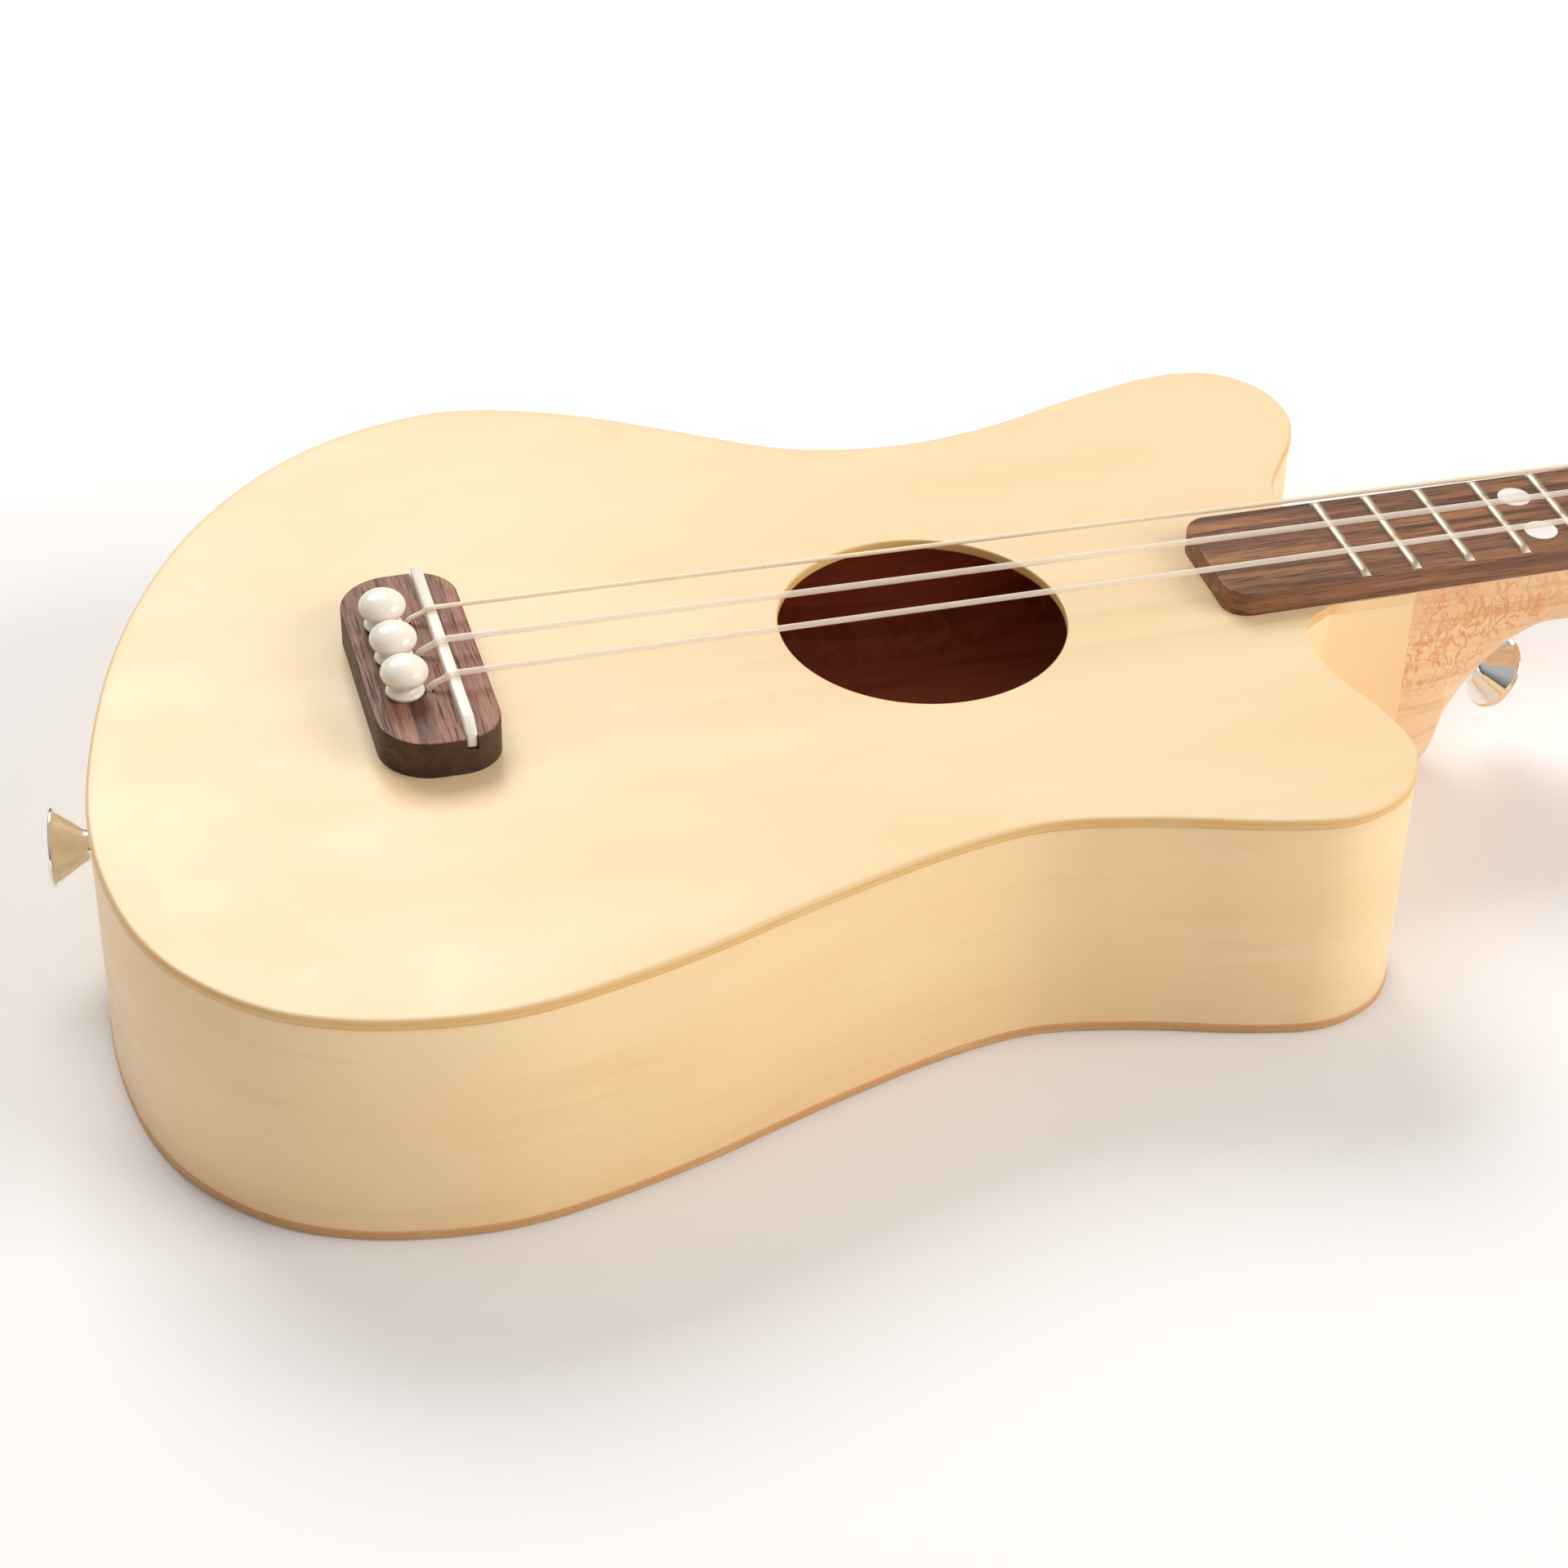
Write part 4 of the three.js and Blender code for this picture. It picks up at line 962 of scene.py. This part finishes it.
def build_nut():
    low, high = NUT_LOW, NUT_HIGH
    loop = [(low.x, low.y), (high.x, low.y), (high.x, high.y), (low.x, high.y)]
    nut = slab("string_nut", stacked(loop, edge_profile(low.z, high.z, 0.1, 0.5, 5)))
    seat = STRING_Z_NUT
    front, back = low.x - 1, high.x + 1
    tools = []
    for y, radius in zip(STRING_Y_NUT, STRING_RADIUS):
        side = radius + 0.1
        tools.append(round_rod("slot", radius + 0.12, (front, y, seat + 0.02), (back, y, seat - 0.1)))
        tools.append(block("mouth", (front, y - side, seat), (back, y + side, seat + 4)))
    combine(nut, tools)
    dress(nut, "saddle_nut", nodes=["nut"])


# ---- Bridge, saddle and pins ----
def build_bridge():
    """The bridge block with its saddle slot and pin holes. Its front and back corners differ."""
    front, back = 7.5, 9.5
    front_x, back_x, half = BRIDGE_HIGH.x - front, BRIDGE_LOW.x + back, BRIDGE_HIGH.y
    loop = [*arc(front_x, half - front, front, 0, 90, 14), *arc(back_x, half - back, back, 90, 180, 16),
            *arc(back_x, back - half, back, 180, 270, 16), *arc(front_x, front - half, front, 270, 360, 14)]
    levels = [*edge_profile(BODY_DEPTH, BRIDGE_TOP, 0.02, 0.3, 4), (1.0, BRIDGE_TOP)]
    bridge = slab("bridge_block", stacked(loop, levels))
    tools = [block("slot", (-1.05, -40, SADDLE_LOW.z), (1.05, 40, BRIDGE_TOP + 5))]
    for y in STRING_Y_SADDLE:
        hole = pin_hole_loop(y)
        tools.append(shell("hole", [at_height(hole, BODY_DEPTH - 1), at_height(hole, BRIDGE_TOP + 1)]))
    combine(bridge, tools)
    dress(bridge, "bridge_walnut", nodes=["bridge"])


def build_saddle():
    """The saddle from its side view, ramped at its -Y end, as rings along its thickness."""
    half, top, bottom = SADDLE_HIGH.y, SADDLE_HIGH.z, SADDLE_LOW.z
    relief = 0.45
    side = [(-half, bottom + relief), (-half, top - 2.2), (-half + 0.35, top - 1.75),
            (-half + 2.9, top - 0.2), (-half + 3.6, top), (half - 0.6, top), (half - 0.18, top - 0.18),
            (half, top - 0.6), (half, bottom + relief), (half - 3, bottom), (-half + 3, bottom)]
    rings = []
    width = 1.0
    for x, inset in [(-width, 0.3), (-width + 0.1, 0.12), (-width + 0.35, 0.0), (width - 0.35, 0.0),
                     (width - 0.1, 0.12), (width, 0.3)]:
        rings.append([(x, p[0], p[1]) for p in inset_loop(side[::-1], inset)])
    dress(shell("saddle_bar", rings, 40), "saddle_nut", nodes=["saddle"])


def build_pins():
    """Tapered pins with a groove for the string, a collar and a flattened ball."""
    ball, ball_z, ball_half = 4.15, 4.46, 2.7
    stem = [(0, -20), (0.9, -19.9), (1.6, -19.2), (1.75, -18.4), (2.4, -0.2), (2.4, 0)]
    collar = [(2.9, 0), (3.2, 0.38), (3.36, 0.6), (3.4, 0.78), (3.34, 0.96), (3.1, 1.15), (2.7, 1.36),
              (2.3, 1.62), (2.22, 1.9)]
    profile = [*stem, *collar]
    for angle in map(radians, range(-57, 90, 3)):
        profile.append((ball * cos(angle), ball_z + ball_half * sin(angle)))
    profile.append((0, ball_z + ball_half))
    for voice, y in zip(VOICES, STRING_Y_SADDLE):
        place = Matrix.Translation((PIN_X, y, BRIDGE_TOP))
        pin = turned(f"bridge_pin_{voice}.look", profile, 56, place, 50)
        low, high = (PIN_X + 2.6, y, BRIDGE_TOP - 21), (PIN_X + 2.9, y, BRIDGE_TOP - 0.4)
        groove = round_rod("groove", 0.55, low, high)
        combine(pin, [groove], smooth_angle=50)
        dress(pin, "pin_plastic", f"bridge_pin_{voice}", [f"bridge_pin_{voice}"])


# ---- Strings ----
WINDING_Z = 48.8
WAIST = 2.4
KNOT_Z = cad_box_mm("bridge_plate")[0].z - 1.3


def string_route(i):
    """Up through the bridge, over the saddle and the nut, and on to the post, as in the CAD."""
    y0, y1 = STRING_Y_SADDLE[i], STRING_Y_NUT[i]
    drop = STRING_DROP_X
    crest = SADDLE_HIGH.z + STRING_RADIUS[i] + 0.1
    rise = [(drop, 40.6), (drop, 47), (drop, BRIDGE_TOP - 0.6), (drop + 0.3, BRIDGE_TOP + 0.5),
            (drop + 0.9, BRIDGE_TOP + 1.1), (-1.6, crest - 0.7), (-0.7, crest - 0.02), (0.2, crest + 0.05),
            (2, crest)]
    route = curve_through([(x, y0, z) for x, z in rise], 5)
    for share in (0.25, 0.5, 0.75, 0.995):
        route.append((SCALE_LENGTH * share, y0 + (y1 - y0) * share, crest + (STRING_Z_NUT - crest) * share))
    leave = NUT_HIGH.x
    route.append((NUT_LOW.x + 1.5, y1, STRING_Z_NUT))
    route.append((leave - 0.6, y1, STRING_Z_NUT - 0.1))
    slope = (WINDING_Z - STRING_Z_NUT) / (POST_X[i] - leave)
    route.append((leave + 3, y1, STRING_Z_NUT + slope * 3))
    route.append((POST_X[i], y1, WINDING_Z))
    return route


def winding_path(i):
    """Turns of string round the waist of a post, from where the string meets it."""
    radius = STRING_RADIUS[i]
    start, turns = 3.2, 2.6
    snug = WAIST + radius + 0.05
    path = []
    for step in range(int(turns * 36) + 1):
        turn = step / 36
        angle = -pi / 2 + 2 * pi * turn
        reach = snug + (start - snug) * max(0, 1 - turn * 3)
        z = WINDING_Z + min(turn, 1.0) * -0.1 + turn * 2 * radius * 0.25
        path.append((POST_X[i] + reach * cos(angle), POST_Y[i] + reach * sin(angle), z))
    return path


def build_strings():
    for i, voice in enumerate(VOICES):
        look = "string_bass" if i == 0 else "string_clear"
        made = tube(f"string_{voice}.look", string_route(i), STRING_RADIUS[i], 20)
        dress(made, look, nodes=[f"string_{voice}"])
        made = tube(f"string_winding_{voice}", winding_path(i), STRING_RADIUS[i], 12)
        dress(made, look, f"tuner_post_{voice}")
        knot = []
        for step in range(73):
            t = 2 * pi * step / 72
            knot.append((STRING_DROP_X + 0.42 * (sin(t) + 2 * sin(2 * t)),
                         STRING_Y_SADDLE[i] + 0.42 * (cos(t) - 2 * cos(2 * t)),
                         KNOT_Z - 0.45 * sin(3 * t)))
        made = tube(f"string_knot_{voice}", knot, 0.4, 10)
        dress(made, look)


# ---- Tuners ----
GEAR_LOW, GEAR_HIGH = 25.7, 28.7
WORM_Z = (GEAR_LOW + GEAR_HIGH) / 2
WORM_OFFSET = 8.1
GEAR_TEETH = 14


def build_tuner_plate(voice, x, y):
    """A rounded plate under the head, with two ears that hold the worm shaft."""
    corner, ear, root = 1.6, 3.2, HEAD_UNDER - 0.5
    left, right, half = corner - 8, 11.5 - corner, 9 - corner
    loop = [*arc(right, half, corner, 0, 90, 5), *arc(left, half, corner, 90, 180, 5),
            *arc(left, -half, corner, 180, 270, 5), *arc(right, -half, corner, 270, 360, 5)]
    place = Matrix.Translation((x, y, 0))
    levels = edge_profile(HEAD_UNDER - 1, HEAD_UNDER, 0.2, 0.02, 3)
    plate = slab("plate", [[place @ Vector(p) for p in ring] for ring in stacked(loop, levels)])
    outline = [(WORM_OFFSET + ear, root), (WORM_OFFSET + ear, WORM_Z),
               *arc(WORM_OFFSET, WORM_Z, ear, 0, -180, 16)[1:], (WORM_OFFSET - ear, root)]
    ears = []
    for low in (-7.5, 6.3):
        ear_rings = []
        for deep, inset in ((0, 0.15), (0.15, 0), (1.05, 0), (1.2, 0.15)):
            ear_rings.append([place @ Vector((p[0], low + deep, p[1]))
                              for p in inset_loop(outline[::-1], inset)])
        ears.append(shell("ear", ear_rings))
    combine(plate, ears, "UNION")
    tools = [round_rod("shaft", 1.75, (x + WORM_OFFSET, y - 12, WORM_Z), (x + WORM_OFFSET, y + 12, WORM_Z)),
             round_rod("post", 3.3, (x, y, HEAD_UNDER - 3), (x, y, HEAD_UNDER + 2))]
    combine(plate, tools)
    plate.name = f"tuner_plate_{voice}.look"
    dress(plate, "tuner_chrome", nodes=[f"tuner_plate_{voice}"])


def cross_screw(name, x, y, z, radius):
    """A small domed screw head that points down, with a cross recess."""
    place = Matrix.Translation((x, y, z)) @ Matrix.Rotation(pi, 4, "X")
    profile = [(0, 0), (radius, 0), (radius, 0.25), (radius * 0.85, 0.6), (radius * 0.5, 0.85), (0, 0.95)]
    screw = turned(name, profile, 32, place, 50)
    tools = []
    for wide, deep in ((radius * 0.6, 0.18), (0.18, radius * 0.6)):
        tools.append(block("cross", (x - wide, y - deep, z - 2), (x + wide, y + deep, z - 0.45)))
    return combine(screw, tools, smooth_angle=50)


def build_tuner_post(voice, x, y):
    """A post with a waist for the string, a cross hole and its gear, and the gear's screw."""
    barrel = [(0, GEAR_HIGH - 0.4), (2.9, GEAR_HIGH - 0.4), (2.9, 47.2), (2.75, 47.5), (WAIST, 47.8),
              (WAIST, 49.8), (2.75, 50.1), (2.9, 50.4), (2.9, 52.3), (2.75, 52.65), (2.3, 52.9),
              (1.2, 53.05), (0, 53.1)]
    place = Matrix.Translation((x, y, 0))
    post = turned("post", barrel, 40, place, 40)
    combine(post, [round_rod("hole", 0.7, (x, y - 5, 51.3), (x, y + 5, 51.3), 20)], smooth_angle=40)
    pitch = 2 * pi / GEAR_TEETH
    tooth_shape = ((4.55, 0.0), (4.75, 0.1), (5.4, 0.22), (5.5, 0.3), (5.5, 0.42), (5.4, 0.5),
                   (4.75, 0.62), (4.55, 0.72))
    loop = []
    for tooth in range(GEAR_TEETH):
        for radius, share in tooth_shape:
            angle = (tooth + share) * pitch
            loop.append((x + radius * cos(angle), y + radius * sin(angle)))
    gear = slab("gear", stacked(loop, edge_profile(GEAR_LOW, GEAR_HIGH, 0.15, 0.15, 2)))
    combine(post, [gear], "UNION", 30)
    post.name = f"tuner_post_{voice}.look"
    dress(post, "tuner_chrome", f"tuner_post_{voice}", [f"tuner_post_{voice}"])
    screw = cross_screw(f"gear_screw_{voice}", x, y, GEAR_LOW, 1.9)
    dress(screw, "tuner_chrome", f"tuner_post_{voice}")


def build_bushing(voice, x, y):
    inner, outer = 3.25, POST_HOLE - 0.2
    profile = [(inner, 38), (outer, 38), (outer, HEAD_TOP), (5.6, HEAD_TOP), (5.6, 44.9), (5.3, 45.7),
               (4.6, 46.3), (4.2, 46.4), (inner, 46.4)]
    loop = rounded(profile, 0.25, 3)
    place = Matrix.Translation((x, y, 0))
    made = turned(f"tuner_bushing_{voice}.look", [*loop, loop[0]], 48, place, 30, closed=True)
    dress(made, "tuner_chrome", nodes=[f"tuner_bushing_{voice}"])


def knob_place(x, y):
    """A worm's axis as +Z, from the middle of the thread towards the button."""
    return Matrix.Translation((x + WORM_OFFSET, y, WORM_Z)) @ Matrix.Rotation(-pi / 2, 4, "X")


def build_worm(voice, x, y):
    """The worm shaft along +Y with its helical thread between the ears."""
    core, crest, pitch, thread_end = 1.7, 2.5, 2.27, 5.85
    start, end = -8.6, 13
    sides = 32
    place = knob_place(x, y)
    rings = []
    for z in [start, -8.5, -6.0, -5.9, *np.arange(-5.8, 5.81, 0.14), 5.9, 6.0, 12.9, end]:
        ring = []
        for k, angle in enumerate(turn_angles(sides)):
            r = 1.35 if z in (start, end) else 1.5
            if abs(z) < thread_end:
                phase = (z / pitch + k / sides) % 1
                tooth = min(1, max(0, 1.6 - 3.2 * abs(phase - 0.5) * 1.35))
                fade = min(1, (thread_end - abs(z)) / 0.6)
                r = core + (crest - core) * tooth * fade
            ring.append(place @ Vector((r * cos(angle), r * sin(angle), z)))
        rings.append(ring)
    made = shell(f"tuner_worm_{voice}.look", rings, 50)
    dress(made, "tuner_chrome", f"tuner_knob_{voice}", [f"tuner_worm_{voice}"])


def build_tuner_button(voice, x, y):
    """An oval button: round at its neck, and flatter past it."""
    place = knob_place(x, y) @ Matrix.Translation((0, 0, 13))
    neck = [(0, 0), (2.3, 0), (2.5, 0.3)]
    bulb = [(2.55, 1.5), (3.3, 2.4), (4.6, 3.3), (5.7, 4.8), (6.25, 6.6), (6.3, 8), (6.0, 9.7), (5.2, 11.2),
            (3.9, 12.3), (2.2, 12.9), (0, 13)]
    rings = []
    for r, z in [*neck, *curve_through(bulb, 4)]:
        flat = 0.62 + 0.38 * max(0, 1 - z / 3)
        rings.append([place @ Vector((max(r, 0) * cos(a), max(r, 0) * flat * sin(a), z))
                      for a in turn_angles(48)])
    made = shell(f"tuner_button_{voice}.look", rings, 50)
    dress(made, "tuner_button", f"tuner_knob_{voice}", [f"tuner_button_{voice}"])


def build_tuners():
    for voice, x, y in zip(VOICES, POST_X, POST_Y):
        for build in (build_tuner_plate, build_tuner_post, build_bushing, build_worm, build_tuner_button):
            build(voice, x, y)
        for n, side in enumerate((6.8, -6.8)):
            screw = cross_screw(f"plate_screw_{voice}_{n + 1}", x - 6.2, y + side, HEAD_UNDER - 1, 1.5)
            dress(screw, "tuner_chrome")


# ---- Pieces that keep their CAD mesh ----
INNER_LOOKS = {
    "inner_spruce": ["neck_block", "tail_block", "top_lining", "back_lining", "top_brace_upper",
                     "top_brace_lower", "back_brace_upper", "back_brace_lower"],
    "bridge_plate_maple": ["bridge_plate"],
    "bolt_steel": ["neck_bolt_upper", "neck_bolt_lower"],
}


def dress_inner_parts():
    """Gives the hidden parts their materials and breaks their sharp edges."""
    for look, nodes in INNER_LOOKS.items():
        for node in nodes:
            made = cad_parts[node]
            made.data.materials.clear()
            made.data.materials.append(LOOKS[look])
            bevel = made.modifiers.new("soft_edges", "BEVEL")
            bevel.width = 0.4 * MM
            bevel.segments = 2
            bevel.limit_method = "ANGLE"
            bevel.angle_limit = radians(40)


# ---- Floor and light ----
def add_floor():
    bpy.ops.mesh.primitive_plane_add(size=30, location=(0, 0, 0))
    floor = bpy.context.object
    floor.name = "floor"
    floor.data.materials.append(floor_paint())


def add_area_light(name, place, target, size, power, colour):
    data = bpy.data.lights.new(name, "AREA")
    data.shape = "RECTANGLE"
    data.size, data.size_y = size
    data.energy = power
    data.color = colour
    light = bpy.data.objects.new(name, data)
    light.location = place
    light.rotation_mode = "QUATERNION"
    light.rotation_quaternion = (Vector(target) - Vector(place)).to_track_quat("-Z", "Y")
    bpy.context.scene.collection.objects.link(light)


def add_world():
    """A studio that is bright overhead and dim near the horizon."""
    world = bpy.data.worlds.new("studio")
    world.use_nodes = True
    tree = world.node_tree
    background = tree.nodes["Background"]
    place = tree.nodes.new("ShaderNodeTexCoord")
    split = tree.nodes.new("ShaderNodeSeparateXYZ")
    ramp = tree.nodes.new("ShaderNodeValToRGB")
    tree.links.new(place.outputs["Generated"], split.inputs[0])
    tree.links.new(split.outputs["Z"], ramp.inputs["Fac"])
    tree.links.new(ramp.outputs["Color"], background.inputs["Color"])
    ramp.color_ramp.elements[0].position = 0.05
    ramp.color_ramp.elements[0].color = (0.16, 0.15, 0.145, 1)
    ramp.color_ramp.elements[1].position = 0.55
    ramp.color_ramp.elements[1].color = (1.0, 0.985, 0.965, 1)
    background.inputs["Strength"].default_value = 0.5
    bpy.context.scene.world = world


def add_lights():
    add_world()
    add_area_light("key", (-0.2, 1.5, 1.6), (0.08, 0, 0), (1.4, 1.1), 33, (1, 0.99, 0.98))
    add_area_light("fill", (1.75, -1.0, 1.1), (0.08, 0, 0), (1.5, 1.2), 31, (1, 0.98, 0.96))
    bpy.context.scene.view_settings.view_transform = "Standard"


for make in (build_plates, build_side, build_strap_buttons, build_neck, build_fretboard, build_frets,
             build_dots, build_nut, build_bridge, build_saddle, build_pins, build_strings, build_tuners,
             dress_inner_parts, add_floor, add_lights):
    make()
